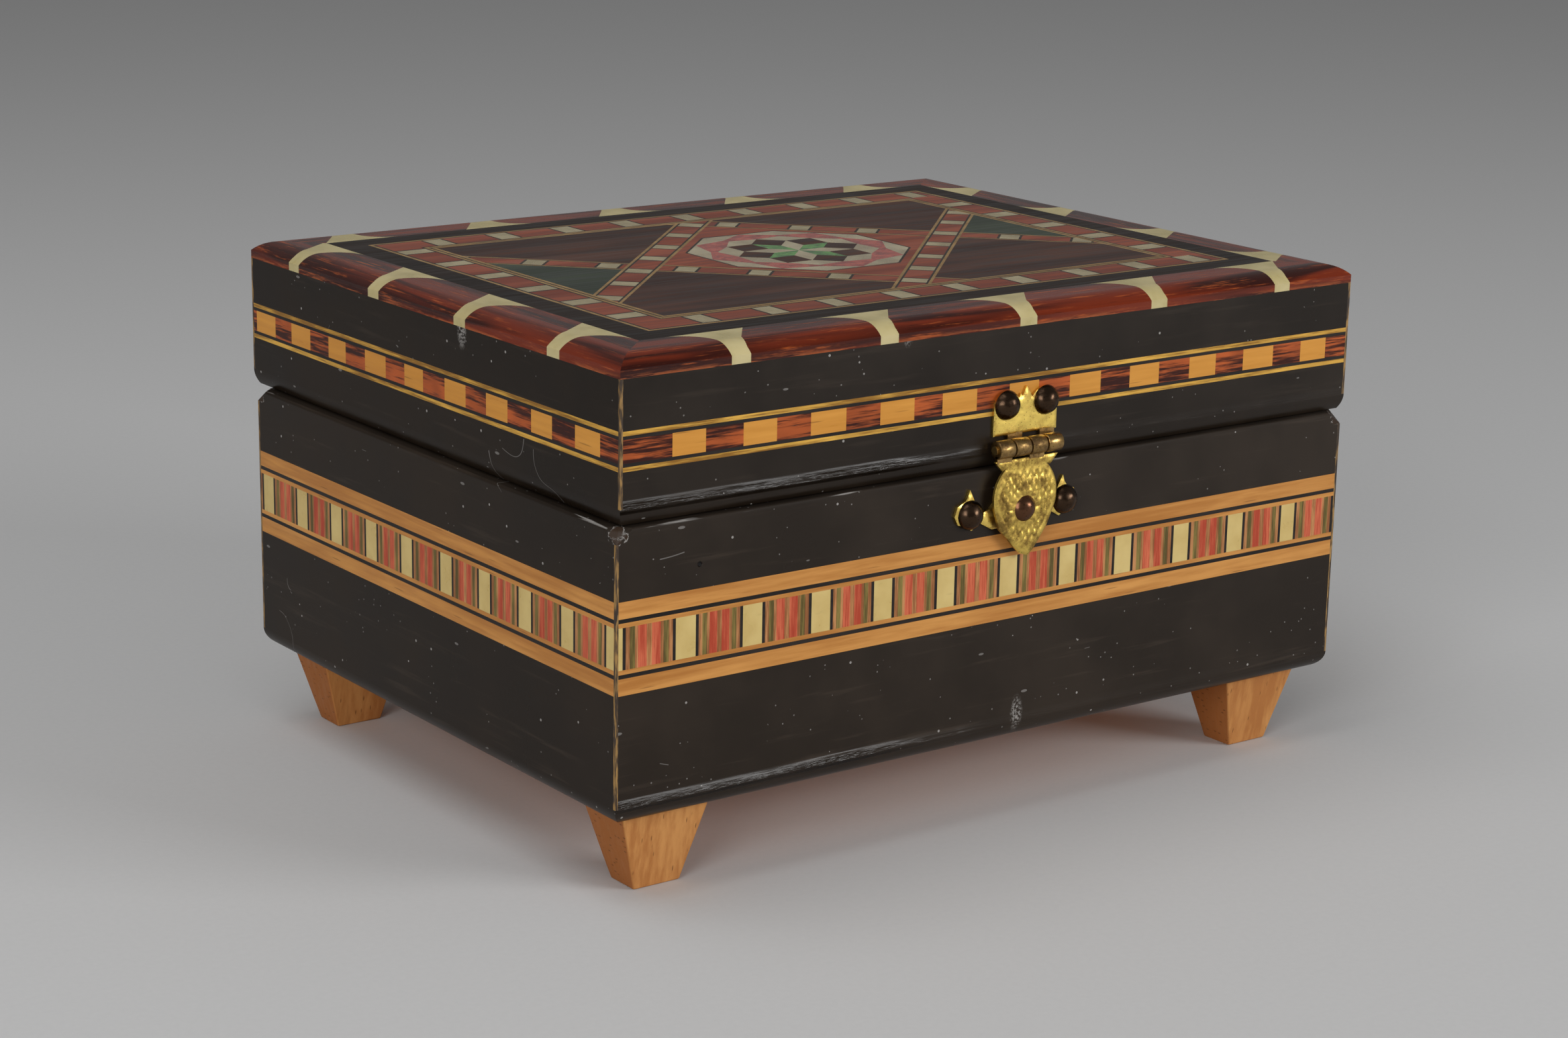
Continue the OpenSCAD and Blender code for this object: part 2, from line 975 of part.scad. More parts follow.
module rosette_bone() {
    color("#bcae86")
        rosette() {
            star_diamonds(1);
            for (k = [0:7]) {
                a = 45 * k;
                polygon([polar(star_tip, a + 22.5), polar(square_tip, a),
                    polar(kite_tip, a + 22.5), polar(square_tip, a + 45)]);
                polygon([polar(ring_in, a + 22.5), polar(oct_r, a),
                    polar(oct_tip, a + 22.5), polar(oct_r, a + 45)]);
            }
        }
}

module rosette_dark() {
    color("#34282a")
        rosette()
            for (k = [0:7]) {
                a = 45 * k;
                polygon([polar(star_s, a), polar(star_tip, a - 22.5), polar(square_tip, a),
                    polar(star_tip, a + 22.5)]);
            }
}

module rosette_red() {
    color("#a03f34")
        rosette()
            for (k = [0:7]) {
                a = 45 * k;
                polygon([polar(kite_tip, a - 22.5), polar(square_tip, a),
                    polar(kite_tip, a + 22.5), polar(ring_in, a + 22.5), polar(oct_r, a),
                    polar(ring_in, a - 22.5)]);
            }
}

// ---------- nails ----------

// A domed nail along +Y: head against y = 0 on the -Y side, shank into the wood
module dome_nail(r, h) {
    ball_r = (r * r + h * h) / (2 * h);
    intersection() {
        translate([0, ball_r - h, 0])
            sphere(ball_r);
        translate([-r - 1, -h - 1, -r - 1])
            cube([2 * r + 2, h + 1, 2 * r + 2]);
    }
    rotate([-90, 0, 0])
        cylinder(h = nail_len, r = nail_shank_r);
}

module hasp_nail_shapes() {
    for (sx = [-1, 1])
        translate([hasp_x + sx * nail_dx, lid_front_y - sheet_t, hasp_nail_z])
            dome_nail(dome_r, nail_h);
}

module keeper_nail_shapes() {
    for (sx = [-1, 1])
        translate([keeper_x + sx * keeper_dx, front_y - sheet_t, keeper_z])
            dome_nail(dome_r, nail_h);
}

module hasp_nails() {
    color("#2e2620")
        hasp_nail_shapes();
}

module keeper_nails() {
    color("#2e2620")
        keeper_nail_shapes();
}

// ---------- hasp ----------

// Knuckles first, first + 2 ... of the barrel along X
module knuckles(first) {
    for (k = [first:2:knuckle_n - 1])
        translate([hasp_x - hasp_w / 2 + k * knuckle_pitch + knuckle_gap / 2, barrel_y, barrel_z])
            rotate([0, 90, 0])
                cylinder(h = knuckle_pitch - knuckle_gap, r = barrel_r);
}

module knuckle_tongues(first, y, z0, z1) {
    for (k = [first:2:knuckle_n - 1])
        translate([hasp_x - hasp_w / 2 + k * knuckle_pitch + knuckle_gap / 2, y, z0])
            cube([knuckle_pitch - knuckle_gap, sheet_t, z1 - z0]);
}

module hasp_bore(r) {
    translate([hasp_x - hasp_w, barrel_y, barrel_z])
        rotate([0, 90, 0])
            cylinder(h = 2 * hasp_w, r = r);
}

// Upright outline, X across and Y up, stood up on the XZ plane from y back to y + sheet_t
module upright(y) {
    translate([0, y + sheet_t, 0])
        rotate([90, 0, 0])
            linear_extrude(sheet_t)
                children();
}

module hasp_leaf() {
    low = barrel_z + barrel_r + 0.35;
    shoulder = hasp_nail_z - 0.6;
    color("#b89a3e")
        difference() {
            union() {
                upright(lid_front_y - sheet_t)
                    translate([hasp_x, 0]) {
                        translate([-hasp_w / 2, low])
                            square([hasp_w, shoulder - low]);
                        for (sx = [-1, 1])
                            translate([sx * (hasp_w / 2 - 2.8), shoulder])
                                circle(2.8);
                        polygon([[-2.2, shoulder], [-1.1, shoulder + 2.2], [-0.7, shoulder + 1.7],
                            [0.1, shoulder + 3.3], [1.2, shoulder + 1.6], [2.2, shoulder]]);
                    }
                knuckle_tongues(1, lid_front_y - sheet_t, barrel_z, low + eps);
                knuckles(1);
            }
            hasp_bore(hasp_pin_r);
            hasp_nail_shapes();
        }
}

module hasp_pin() {
    color("#6b5a30")
        translate([hasp_x - hasp_w / 2 - 0.2, barrel_y, barrel_z])
            rotate([0, 90, 0])
                cylinder(h = hasp_w + 0.4, r = hasp_pin_r);
}

// Shield outline of the flap: a flared top, a neck, a round belly and a pointed foot
module flap_outline() {
    neck_z = barrel_z - 3.3;
    belly_z = barrel_z - 8.2;
    belly_r = 6.55;
    foot_z = barrel_z - 18.2;
    foot_x = 0.9;
    polygon([[-6.5, flap_top], [6.5, flap_top], [4.9, neck_z], [5, belly_z], [-5, belly_z],
        [-4.9, neck_z]]);
    intersection() {
        translate([0, belly_z])
            circle(belly_r);
        translate([-belly_r, belly_z - belly_r])
            square([2 * belly_r, belly_r + 5.1]);
    }
    polygon([[-6.2, belly_z - 2.1], [6.2, belly_z - 2.1], [4.6, belly_z - 5.6],
        [foot_x + 0.9, foot_z + 0.5], [foot_x, foot_z], [foot_x - 1.6, foot_z + 0.7],
        [-3.4, foot_z + 3.6], [-5.2, belly_z - 5.2]]);
}

module hasp_flap() {
    color("#a8904a")
        difference() {
            union() {
                upright(flap_y - sheet_t / 2)
                    translate([hasp_x, 0])
                        flap_outline();
                knuckle_tongues(0, flap_y - sheet_t / 2, flap_top - 0.5, barrel_z);
                knuckles(0);
            }
            hasp_bore(hasp_pin_r + pin_play);
            knob_shape();
        }
}

// Riveted knob: a low dome in front, the rivet tail behind
module knob_shape() {
    face_y = flap_y - sheet_t / 2;
    ball_r = (knob_r * knob_r + knob_h * knob_h) / (2 * knob_h);
    translate([hasp_x + knob_x, face_y, knob_z]) {
        intersection() {
            translate([0, ball_r - knob_h, 0])
                sphere(ball_r);
            translate([-knob_r - 1, -knob_h - 1, -knob_r - 1])
                cube([2 * knob_r + 2, knob_h + 1, 2 * knob_r + 2]);
        }
        rotate([-90, 0, 0]) {
            cylinder(h = sheet_t + 0.3, r = 0.8);
            translate([0, 0, sheet_t])
                cylinder(h = 0.3, r = 1.3);
        }
    }
}

module hasp_knob() {
    color("#5a3d28")
        knob_shape();
}

// Keeper behind the flap: two pointed ears joined by a plate with a hole for the rivet tail
module keeper_half() {
    polygon([[-0.1, 2.6], [5.4, 2.1], [8.2, 2.4], [9.7, 4.1], [10.6, 2.3], [12.2, 1.6],
        [12.7, 0], [12, -1.4], [10.2, -1.9], [9.2, -2.7], [7.8, -1.4], [5, -3], [-0.1, -3.4]]);
}

module keeper_plate() {
    color("#b89a3e")
        difference() {
            upright(front_y - sheet_t)
                translate([keeper_x, keeper_z]) {
                    keeper_half();
                    mirror([1, 0])
                        keeper_half();
                }
            translate([hasp_x + knob_x, front_y - 2, knob_z])
                rotate([-90, 0, 0])
                    cylinder(h = 4, r = 1.7);
            keeper_nail_shapes();
        }
}

// ---------- back hinges ----------

// Barrel knuckle k of three, with a gap between the knuckles
module hinge_knuckle(k, r) {
    part_len = hinge_len / 3;
    translate([-hinge_len / 2 + k * part_len + knuckle_gap / 2, 0, 0])
        rotate([0, 90, 0])
            cylinder(h = part_len - knuckle_gap, r = r);
}

module at_hinges() {
    for (sx = [-1, 1])
        translate([sx * hinge_x, hinge_y, hinge_z])
            children();
}

module hinge_pockets() {
    at_hinges()
        rotate([0, 90, 0])
            cylinder(h = hinge_len + 0.8, r = hinge_r + hinge_clear, center = true);
}

// The lid is cut open behind the barrels
module barrel_notches() {
    at_hinges()
        translate([-hinge_len / 2 - 0.4, 0, -1])
            cube([hinge_len + 0.8, 5, 1 + hinge_r + hinge_clear]);
}

// Leaf plate with its outer part only where its own knuckles are. z0 is its lower face.
module leaf_plate(own, z0, t) {
    reach = hinge_r + hinge_clear;
    part_len = hinge_len / 3;
    translate([-hinge_len / 2, -hinge_leaf_d, z0])
        cube([hinge_len, hinge_leaf_d - reach, t]);
    for (k = own)
        translate([-hinge_len / 2 + k * part_len + knuckle_gap / 2, -reach - eps, z0])
            cube([part_len - knuckle_gap, reach + eps, t]);
}

module base_leaf_shapes(t) {
    at_hinges()
        leaf_plate([0, 2], body_z1 - hinge_z - t, t);
}

module lid_leaf_shapes(t) {
    at_hinges()
        leaf_plate([1], lid_z0 - hinge_z, t);
}

// A flat-headed hinge nail: up is 1 when the head faces up
module flat_nail(up) {
    mirror([0, 0, up > 0 ? 1 : 0]) {
        cylinder(h = 0.3, r = 1);
        cylinder(h = nail_len, r = 0.5);
    }
}

module hinge_nail_places(z, up) {
    at_hinges()
        for (sx = [-1, 1])
            translate([sx * hinge_len / 4, -hinge_leaf_d * 0.66, z - hinge_z])
                flat_nail(up);
}

module base_hinge_nail_shapes() {
    hinge_nail_places(body_z1, 1);
}

module lid_hinge_nail_shapes() {
    hinge_nail_places(lid_z0, -1);
}

module hinge_bores(r) {
    at_hinges()
        rotate([0, 90, 0])
            cylinder(h = hinge_len + 2, r = r, center = true);
}

module base_hinge_leaves() {
    color("#a8873a")
        difference() {
            union() {
                base_leaf_shapes(hinge_leaf_t);
                at_hinges()
                    for (k = [0, 2])
                        hinge_knuckle(k, hinge_r);
            }
            hinge_bores(hinge_pin_r);
            base_hinge_nail_shapes();
        }
}

module lid_hinge_leaves() {
    color("#a8873a")
        difference() {
            union() {
                lid_leaf_shapes(hinge_leaf_t);
                at_hinges()
                    hinge_knuckle(1, hinge_r);
            }
            hinge_bores(hinge_pin_r + pin_play);
            lid_hinge_nail_shapes();
        }
}

module hinge_pins() {
    color("#6b5a30")
        at_hinges()
            rotate([0, 90, 0])
                cylinder(h = hinge_len, r = hinge_pin_r, center = true);
}

module base_hinge_nails() {
    color("#8a7338")
        base_hinge_nail_shapes();
}

module lid_hinge_nails() {
    color("#8a7338")
        lid_hinge_nail_shapes();
}

// ---------- lining ----------

module lining_ring(hx, hy, z0, z1) {
    translate([0, 0, z0])
        linear_extrude(z1 - z0)
            difference() {
                plate2(hx, hy);
                plate2(hx - lining_t, hy - lining_t);
            }
}

module base_lining_pad() {
    color("#7a1f24")
        translate([-in_x, -in_y, body_z0 + bottom_t])
            cube([2 * in_x, 2 * in_y, pad_t]);
}

module base_lining_walls() {
    color("#7a1f24")
        lining_ring(in_x, in_y, body_z0 + bottom_t + pad_t, body_z1 - 1);
}

module lid_lining() {
    z1 = lid_z1 - lid_board_t;
    color("#7a1f24")
        on_lid() {
            translate([-lid_in_x, -lid_in_y, z1 - pad_t])
                cube([2 * lid_in_x, 2 * lid_in_y, pad_t]);
            lining_ring(lid_in_x, lid_in_y, lid_z0 + 1, z1 - pad_t);
        }
}

// ---------- nodes ----------

bottom_panel();
front_wall();
back_wall();
left_wall();
right_wall();
foot(-1, -1);  // foot_front_left
foot(1, -1);  // foot_front_right
foot(-1, 1);  // foot_back_left
foot(1, 1);  // foot_back_right
band_satinwood();
band_ebony();
band_fine_lines();
band_bone_tiles();
band_red_stripes();
band_olive_stripes();
band_tan_stripes();
body_corner_edges();
keeper_plate();
keeper_nails();
base_hinge_leaves();
hinge_pins();
base_hinge_nails();
base_lining_pad();
base_lining_walls();
lid_front_wall();
lid_back_wall();
lid_left_wall();
lid_right_wall();
lid_board();
moulding(0);  // moulding_front
moulding(2);  // moulding_back
moulding(3);  // moulding_left
moulding(1);  // moulding_right
bone_hooks();
lid_gold_lines();
lid_ebony_lines();
lid_light_blocks();
lid_mahogany_blocks();
lid_corner_edges();
top_ebony_border();
top_gold_lines();
top_dark_lines();
top_red_blocks();
top_bone_blocks();
top_brown_panels();
top_green_panels();
top_rose_panels();
rosette_green();
rosette_bone();
rosette_dark();
rosette_red();
hasp_leaf();
hasp_nails();
hasp_pin();
lid_hinge_leaves();
lid_hinge_nails();
lid_lining();
hasp_flap();
hasp_knob();
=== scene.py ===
"""The looks of a small inlaid wooden box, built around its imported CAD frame.

Lengths are metres, unless a comment says that they are mm, which mm() turns into metres. Every
shader works in object coordinates, which are the frame's own.
"""

import math

import bmesh
import bpy
from mathutils import Matrix, Vector, noise
from mathutils.geometry import delaunay_2d_cdt


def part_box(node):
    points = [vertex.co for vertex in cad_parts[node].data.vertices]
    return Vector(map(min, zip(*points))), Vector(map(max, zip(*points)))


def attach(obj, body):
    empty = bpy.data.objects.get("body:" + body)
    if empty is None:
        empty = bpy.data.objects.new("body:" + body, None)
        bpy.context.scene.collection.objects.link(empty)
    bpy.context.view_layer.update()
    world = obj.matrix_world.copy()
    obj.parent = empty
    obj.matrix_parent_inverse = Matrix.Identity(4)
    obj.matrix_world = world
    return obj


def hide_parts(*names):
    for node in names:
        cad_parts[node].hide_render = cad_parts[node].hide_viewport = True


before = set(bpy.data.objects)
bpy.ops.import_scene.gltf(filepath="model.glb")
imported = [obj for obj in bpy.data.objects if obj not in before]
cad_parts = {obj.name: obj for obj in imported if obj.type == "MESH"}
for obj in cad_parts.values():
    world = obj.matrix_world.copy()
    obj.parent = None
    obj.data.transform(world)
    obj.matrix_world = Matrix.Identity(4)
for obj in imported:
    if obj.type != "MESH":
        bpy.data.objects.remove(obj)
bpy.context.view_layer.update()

MM = 0.001
# from the middle of the base to its outer faces
HALF_WIDTH, HALF_DEPTH = 75 * MM, 57 * MM
SHEET = 0.6    # thickness of the sheet brass, mm
scene = bpy.context.scene
scene.view_settings.view_transform = "Standard"


def mm(*values):
    return tuple(v * MM for v in values)


# ---------------------------------------------------------------- camera, floor and light

VIEW_AZIMUTH = math.radians(36.35)
VIEW_ELEVATION = math.radians(14.77)
VIEW_ROLL = math.radians(1.02)
CAMERA_AT = Vector(mm(-323.9, -436.7, 181.8))
LENS = 73.5
SENSOR_WIDTH = 36
FILL_LIGHT = 0.20
FLOOR_REACH = 5


def make_camera():
    sa, ca = math.sin(VIEW_AZIMUTH), math.cos(VIEW_AZIMUTH)
    se, ce = math.sin(VIEW_ELEVATION), math.cos(VIEW_ELEVATION)
    back = Vector((-sa * ce, -ca * ce, se))
    level = Vector((ca, -sa, 0))
    upright = back.cross(level)
    right = level * math.cos(VIEW_ROLL) + upright * math.sin(VIEW_ROLL)
    up = back.cross(right)
    data = bpy.data.cameras.new("camera")
    data.lens = LENS
    data.sensor_width = SENSOR_WIDTH
    data.clip_start = 0.01
    camera = bpy.data.objects.new("camera", data)
    scene.collection.objects.link(camera)
    turn = Matrix((right, up, back)).transposed().to_4x4()
    camera.matrix_world = Matrix.Translation(CAMERA_AT) @ turn
    scene.camera = camera


def area_light(name, at, target, size, power, size_y=None):
    data = bpy.data.lights.new(name, "AREA")
    data.energy = power
    data.size = size
    if size_y:
        data.shape = "RECTANGLE"
        data.size_y = size_y
    light = bpy.data.objects.new(name, data)
    scene.collection.objects.link(light)
    at = Vector(at)
    facing = (Vector(target) - at).to_track_quat("-Z", "Y").to_matrix().to_4x4()
    light.matrix_world = Matrix.Translation(at) @ facing


def make_light():
    world = bpy.data.worlds.new("studio")
    world.use_nodes = True
    background = world.node_tree.nodes["Background"]
    background.inputs["Color"].default_value = (1, 1, 1, 1)
    background.inputs["Strength"].default_value = FILL_LIGHT
    scene.world = world
    area_light("overhead", (-0.30, 0.05, 0.85), (-0.02, -0.02, 0.03), 0.6, 2.2)
    area_light("left_front", (-1.1, -0.70, 0.5), (0, 0, 0.05), 0.6, 7.0)
    area_light("right_front", (0.70, -1.05, 0.44), (0, 0, 0.04), 0.62, 8.0, size_y=0.34)


# ---------------------------------------------------------------- shader helper

class Shader:
    """A material with a Principled shader, and short calls for the nodes that feed it."""

    def __init__(self, name):
        self.material = bpy.data.materials.new(name)
        self.material.use_nodes = True
        self.tree = self.material.node_tree
        self.bsdf = self.tree.nodes["Principled BSDF"]
        self.where = self.tree.nodes.new("ShaderNodeTexCoord").outputs["Object"]

    def node(self, kind, inputs=(), **settings):
        made = self.tree.nodes.new(kind)
        for key, value in settings.items():
            setattr(made, key, value)
        for key, value in dict(inputs).items():
            self.feed(made.inputs[key], value)
        return made

    def feed(self, socket, value):
        if isinstance(value, bpy.types.NodeSocket):
            self.tree.links.new(value, socket)
        elif isinstance(value, tuple) and len(value) == 3 and socket.type == "RGBA":
            socket.default_value = (*value, 1)
        else:
            socket.default_value = value

    def set(self, **values):
        for key, value in values.items():
            self.feed(self.bsdf.inputs[key.replace("_", " ")], value)

    def stretched(self, scale, turn=(0, 0, 0)):
        """Object coordinates turned and scaled, so that noise runs along a grain."""
        made = self.node("ShaderNodeMapping", {"Vector": self.where, "Scale": scale, "Rotation": turn})
        return made.outputs["Vector"]

    def round_the_box(self):
        """Coordinates whose first axis runs along the bands on every side of the box."""
        x, y, z = self.axes()
        run = self.math("MULTIPLY", self.math("ADD", x, y), 0.06)
        across = self.math("MULTIPLY", self.math("SUBTRACT", x, y), 0.02)
        made = self.node("ShaderNodeCombineXYZ", {"X": run, "Y": z, "Z": across})
        return made.outputs["Vector"]

    def noise(self, vector, scale, detail=3.0, rough=0.55, warp=0.0):
        made = self.node("ShaderNodeTexNoise", {"Vector": vector, "Scale": scale, "Detail": detail,
                                               "Roughness": rough, "Distortion": warp})
        return made.outputs["Fac"]

    def cells(self, vector, scale):
        """Distance to the nearest of many scattered points."""
        made = self.node("ShaderNodeTexVoronoi", {"Vector": vector, "Scale": scale})
        return made.outputs["Distance"]

    def ramp(self, value, low, high, start=0.0, end=1.0):
        """value mapped smoothly from low..high to start..end, held outside."""
        made = self.node("ShaderNodeMapRange", {"Value": value, "From Min": low, "From Max": high,
                                               "To Min": start, "To Max": end},
                         interpolation_type="SMOOTHSTEP")
        return made.outputs["Result"]

    def math(self, operation, a, b=0.0, c=0.0):
        made = self.node("ShaderNodeMath", operation=operation)
        for socket, value in zip(made.inputs, (a, b, c)):
            self.feed(socket, value)
        return made.outputs[0]

    def mix(self, factor, a, b):
        # a Mix node's color sockets come after those for numbers and vectors
        made = self.node("ShaderNodeMix", data_type="RGBA")
        self.feed(made.inputs[0], factor)
        self.feed(made.inputs[6], a)
        self.feed(made.inputs[7], b)
        return made.outputs[2]

    def axes(self):
        made = self.node("ShaderNodeSeparateXYZ", {"Vector": self.where})
        return made.outputs[0], made.outputs[1], made.outputs[2]

    def bump(self, height, strength, distance, below=None):
        inputs = {"Height": height, "Strength": strength, "Distance": distance}
        if below is not None:
            inputs["Normal"] = below
        return self.node("ShaderNodeBump", inputs).outputs["Normal"]


# A grain direction is the axis that the fibres follow
ALONG = {"x": (0.06, 1, 1), "y": (1, 0.06, 1), "z": (1, 1, 0.06)}


def wood(name, dark, light, along="x", gloss=0.3, scale=900.0,
         pores=0.5, bump=0.25, contrast=1.0, level=0.22, end_grain_and_shade=None):
    """Fine-grained wood: long fibres, broad figure and short dark pores.

    ends is the colour put on the faces that look along X: sawn end grain, made darker partly as painted
    shade on those faces.
    """
    s = Shader(name)
    grain = s.round_the_box() if along == "band" else s.stretched(ALONG[along])
    fibre = s.noise(grain, scale, 4.0, 0.6)
    figure = s.noise(grain, scale * 0.16, 3.0, 0.5, 0.6)
    mottled = s.noise(s.where, scale * 0.05, 2.0)
    blend = s.math("ADD", s.math("MULTIPLY", fibre, 0.5), s.math("MULTIPLY", figure, 0.5))
    blend = s.ramp(blend, 0.5 - 0.14 / contrast, 0.5 + 0.14 / contrast)
    color = s.mix(blend, dark, light)
    color = s.mix(s.ramp(mottled, 0.35, 0.7, 0.0, 0.35), color, dark)
    pore = s.ramp(s.cells(grain, scale * 1.1), 0.06, 0.16, 1.0, 0.0)
    color = s.mix(s.math("MULTIPLY", pore, pores), color, tuple(0.35 * c for c in dark))
    if end_grain_and_shade is not None:
        facing = s.node("ShaderNodeNewGeometry").outputs["Normal"]
        facing = s.node("ShaderNodeSeparateXYZ", {"Vector": facing})
        shaded_end_faces = s.ramp(s.math("ABSOLUTE", facing.outputs["X"]), 0.55, 0.85)
        dash = s.cells(s.stretched((1, 0.35, 1), (0.3, 0, 0)), scale * 1.4)
        # faces that look along X take the darker colour: end grain, and partly painted shade for faces
        # that get less light
        color = s.mix(shaded_end_faces, color, end_grain_and_shade)
        color = s.mix(s.math("MULTIPLY", shaded_end_faces, s.ramp(dash, 0.10, 0.25, 0.7, 0.0)), color,
                      tuple(0.25 * c for c in end_grain_and_shade))
    height = s.math("SUBTRACT", s.math("MULTIPLY", fibre, 0.5), s.math("MULTIPLY", pore, 0.8))
    normal = s.bump(height, bump, 0.00006)
    s.set(Base_Color=color, Roughness=s.ramp(fibre, 0.3, 0.7, gloss * 0.8, gloss * 1.25),
          Normal=normal)
    s.bsdf.inputs["IOR"].default_value = 1.5
    s.bsdf.inputs["Specular IOR Level"].default_value = level
    return s.material


# ---------------------------------------------------------------- materials

def lacquer(name, along, bead=None, top=None, tone=1.0, level=0.22, dimple=None):
    """Black-brown lacquer over wood: faint grain, dust specks, hairline scratches and scuffs.

    bead is the height of the swollen line along the lower edge, top that of a chipped arris,
    dimple the x and z of a small dent whose inside is painted almost black as painted shade. tone scales
    the lightness of the lacquer.
    """
    s = Shader(name)
    grain = s.stretched(ALONG[along])
    fibre = s.noise(grain, 700.0, 4.0, 0.6)
    cloud = s.noise(s.where, 45.0, 4.0)
    x, y, z = s.axes()
    color = s.mix(s.ramp(cloud, 0.35, 0.7), tuple(tone * c for c in (0.0165, 0.0105, 0.0062)),
                  tuple(tone * c for c in (0.0260, 0.0170, 0.0105)))
    color = s.mix(s.ramp(fibre, 0.56, 0.74, 0.0, 0.55), color,
                  tuple(tone * c for c in (0.046, 0.032, 0.022)))
    # dust specks of about 0.2 mm, and a few larger scuffs
    speck = s.math("LESS_THAN", s.cells(s.where, 250.0), 0.055)
    rare = s.math("GREATER_THAN", s.noise(s.where, 90.0, 1.0), 0.48)
    speck = s.math("MULTIPLY", speck, rare)
    dust = s.math("LESS_THAN", s.cells(s.stretched((1, 1, 1), (0.7, 0.2, 0.4)), 620.0), 0.085)
    dust = s.math("MULTIPLY", dust, s.math("GREATER_THAN", s.noise(s.where, 140.0, 2.0), 0.52))
    speck = s.math("MAXIMUM", speck, s.math("MULTIPLY", dust, 0.55))
    scuff_at = s.cells(s.stretched((1, 1, 0.45), (0.2, 0.3, 0.5)), 42.0)
    scuff_at = s.ramp(scuff_at, 0.03, 0.07, 1.0, 0.0)
    scuff_seen = s.math("GREATER_THAN", s.noise(s.where, 23.0, 1.0), 0.47)
    broken = s.noise(s.where, 2600.0, 3.0)
    scuff = s.math("MULTIPLY", s.math("MULTIPLY", scuff_at, scuff_seen),
                   s.ramp(broken, 0.42, 0.62))
    line = s.noise(s.stretched((0.25, 1, 1), (0, 0.35, 0)), 60.0, 1.0, 0.4)
    scratch_at = s.math("ABSOLUTE", s.math("SUBTRACT", line, 0.5))
    scratch = s.ramp(scratch_at, 0.0006, 0.0020, 1.0, 0.0)
    scratch = s.math("MULTIPLY", scratch, s.math("GREATER_THAN", s.noise(s.where, 70.0, 2.0), 0.64))
    nick = s.math("LESS_THAN", s.cells(s.stretched((0.35, 0.35, 1), (0.1, 0.1, 0)), 330.0), 0.075)
    nick = s.math("MULTIPLY", nick, s.math("GREATER_THAN", s.noise(s.where, 60.0, 1.0), 0.57))
    marks = s.math("MAXIMUM", s.math("MAXIMUM", speck, scuff), s.math("MULTIPLY", scratch, 0.45))
    marks = s.math("MAXIMUM", marks, s.math("MULTIPLY", nick, 0.5))
    if top is not None:
        far_x, far_y = s.math("ABSOLUTE", x), s.math("ABSOLUTE", y)
        # the wear stays on the outer arris, and the bare wood near the corners
        outside = s.math("MAXIMUM",
                         s.ramp(far_x, HALF_WIDTH - 0.6 * MM, HALF_WIDTH - 0.2 * MM),
                         s.ramp(far_y, HALF_DEPTH - 0.6 * MM, HALF_DEPTH - 0.2 * MM))
        worn = s.math("MULTIPLY", s.ramp(z, top - 0.00045, top - 0.00010),
                      s.ramp(s.noise(grain, 900.0, 3.0), 0.60, 0.68))
        worn = s.math("MULTIPLY", worn, outside)
        corner = s.math("MULTIPLY",
                        s.ramp(far_x, HALF_WIDTH - 3.2 * MM, HALF_WIDTH - 1.7 * MM),
                        s.ramp(far_y, HALF_DEPTH - 3.2 * MM, HALF_DEPTH - 1.7 * MM))
        corner = s.math("MULTIPLY", corner, s.ramp(z, top - 0.0030, top - 0.0018))
        chip = s.noise(s.where, 700.0, 4.0, 0.6)
        bare = s.ramp(s.math("ADD", corner, s.math("MULTIPLY", chip, 1.8)), 1.62, 1.90)
        color = s.mix(bare, color, (0.034, 0.018, 0.009))
        rim = s.math("MULTIPLY", s.ramp(bare, 0.02, 0.3), s.ramp(bare, 0.6, 0.98, 1.0, 0.0))
        rim = s.math("MULTIPLY", rim, s.ramp(s.noise(s.where, 1400.0, 2.0), 0.42, 0.56))
        marks = s.math("MAXIMUM", marks, s.math("MAXIMUM", worn, rim))
    color = s.mix(s.math("MULTIPLY", marks, 0.75), color, (0.38, 0.36, 0.34))
    height = s.math("ADD", s.math("MULTIPLY", fibre, 0.35), s.math("MULTIPLY", cloud, 0.5))
    height = s.math("SUBTRACT", height, s.math("MULTIPLY", scratch, 0.5))
    normal = s.bump(height, 0.35, 0.00008)
    rough = s.ramp(cloud, 0.3, 0.7, 0.27, 0.40)
    if top is not None:
        rough = s.math("ADD", rough, s.ramp(z, top - 0.0007, top - 0.0003, 0.0, 0.35))
    if bead is not None:
        swell = s.math("MULTIPLY", s.ramp(z, bead - 0.0007, bead),
                       s.ramp(z, bead, bead + 0.0016, 1.0, 0.0))
        along_it = s.ramp(s.noise(s.stretched((1, 1, 0.02)), 38.0, 3.0, 0.6), 0.30, 0.60, 0.45, 1.0)
        shine = s.math("MULTIPLY", swell, along_it)
        shine = s.math("MULTIPLY", shine, s.ramp(x, -0.030, 0.004, 1.0, 0.12))
        uneven = s.ramp(s.noise(grain, 1500.0, 3.0, 0.6), 0.3, 0.7, 0.85, 1.15)
        swell = s.math("MULTIPLY", shine, uneven)
        normal = s.bump(s.math("MULTIPLY", swell, 0.00075), 1.0, 1.0, normal)
        rough = s.math("SUBTRACT", rough, s.math("MULTIPLY", shine, 0.12))
    if dimple is not None:
        away = s.math("POWER", s.math("SUBTRACT", x, dimple[0]), 2.0)
        away = s.math("ADD", away, s.math("POWER", s.math("SUBTRACT", z, dimple[1]), 2.0))
        away = s.math("SQRT", away)
        shaded_pit = s.ramp(away, 0.00022, 0.00050, 1.0, 0.0)
        # inside the dent the colour is painted almost black: painted shade in the hollow, over the
        # bumped dent
        color = s.mix(shaded_pit, color, (0.004, 0.003, 0.003))
        normal = s.bump(s.math("MULTIPLY", shaded_pit, -0.0004), 1.0, 1.0, normal)
    s.set(Base_Color=color, Roughness=rough, Normal=normal)
    s.bsdf.inputs["IOR"].default_value = 1.5
    s.bsdf.inputs["Specular IOR Level"].default_value = level
    return s.material


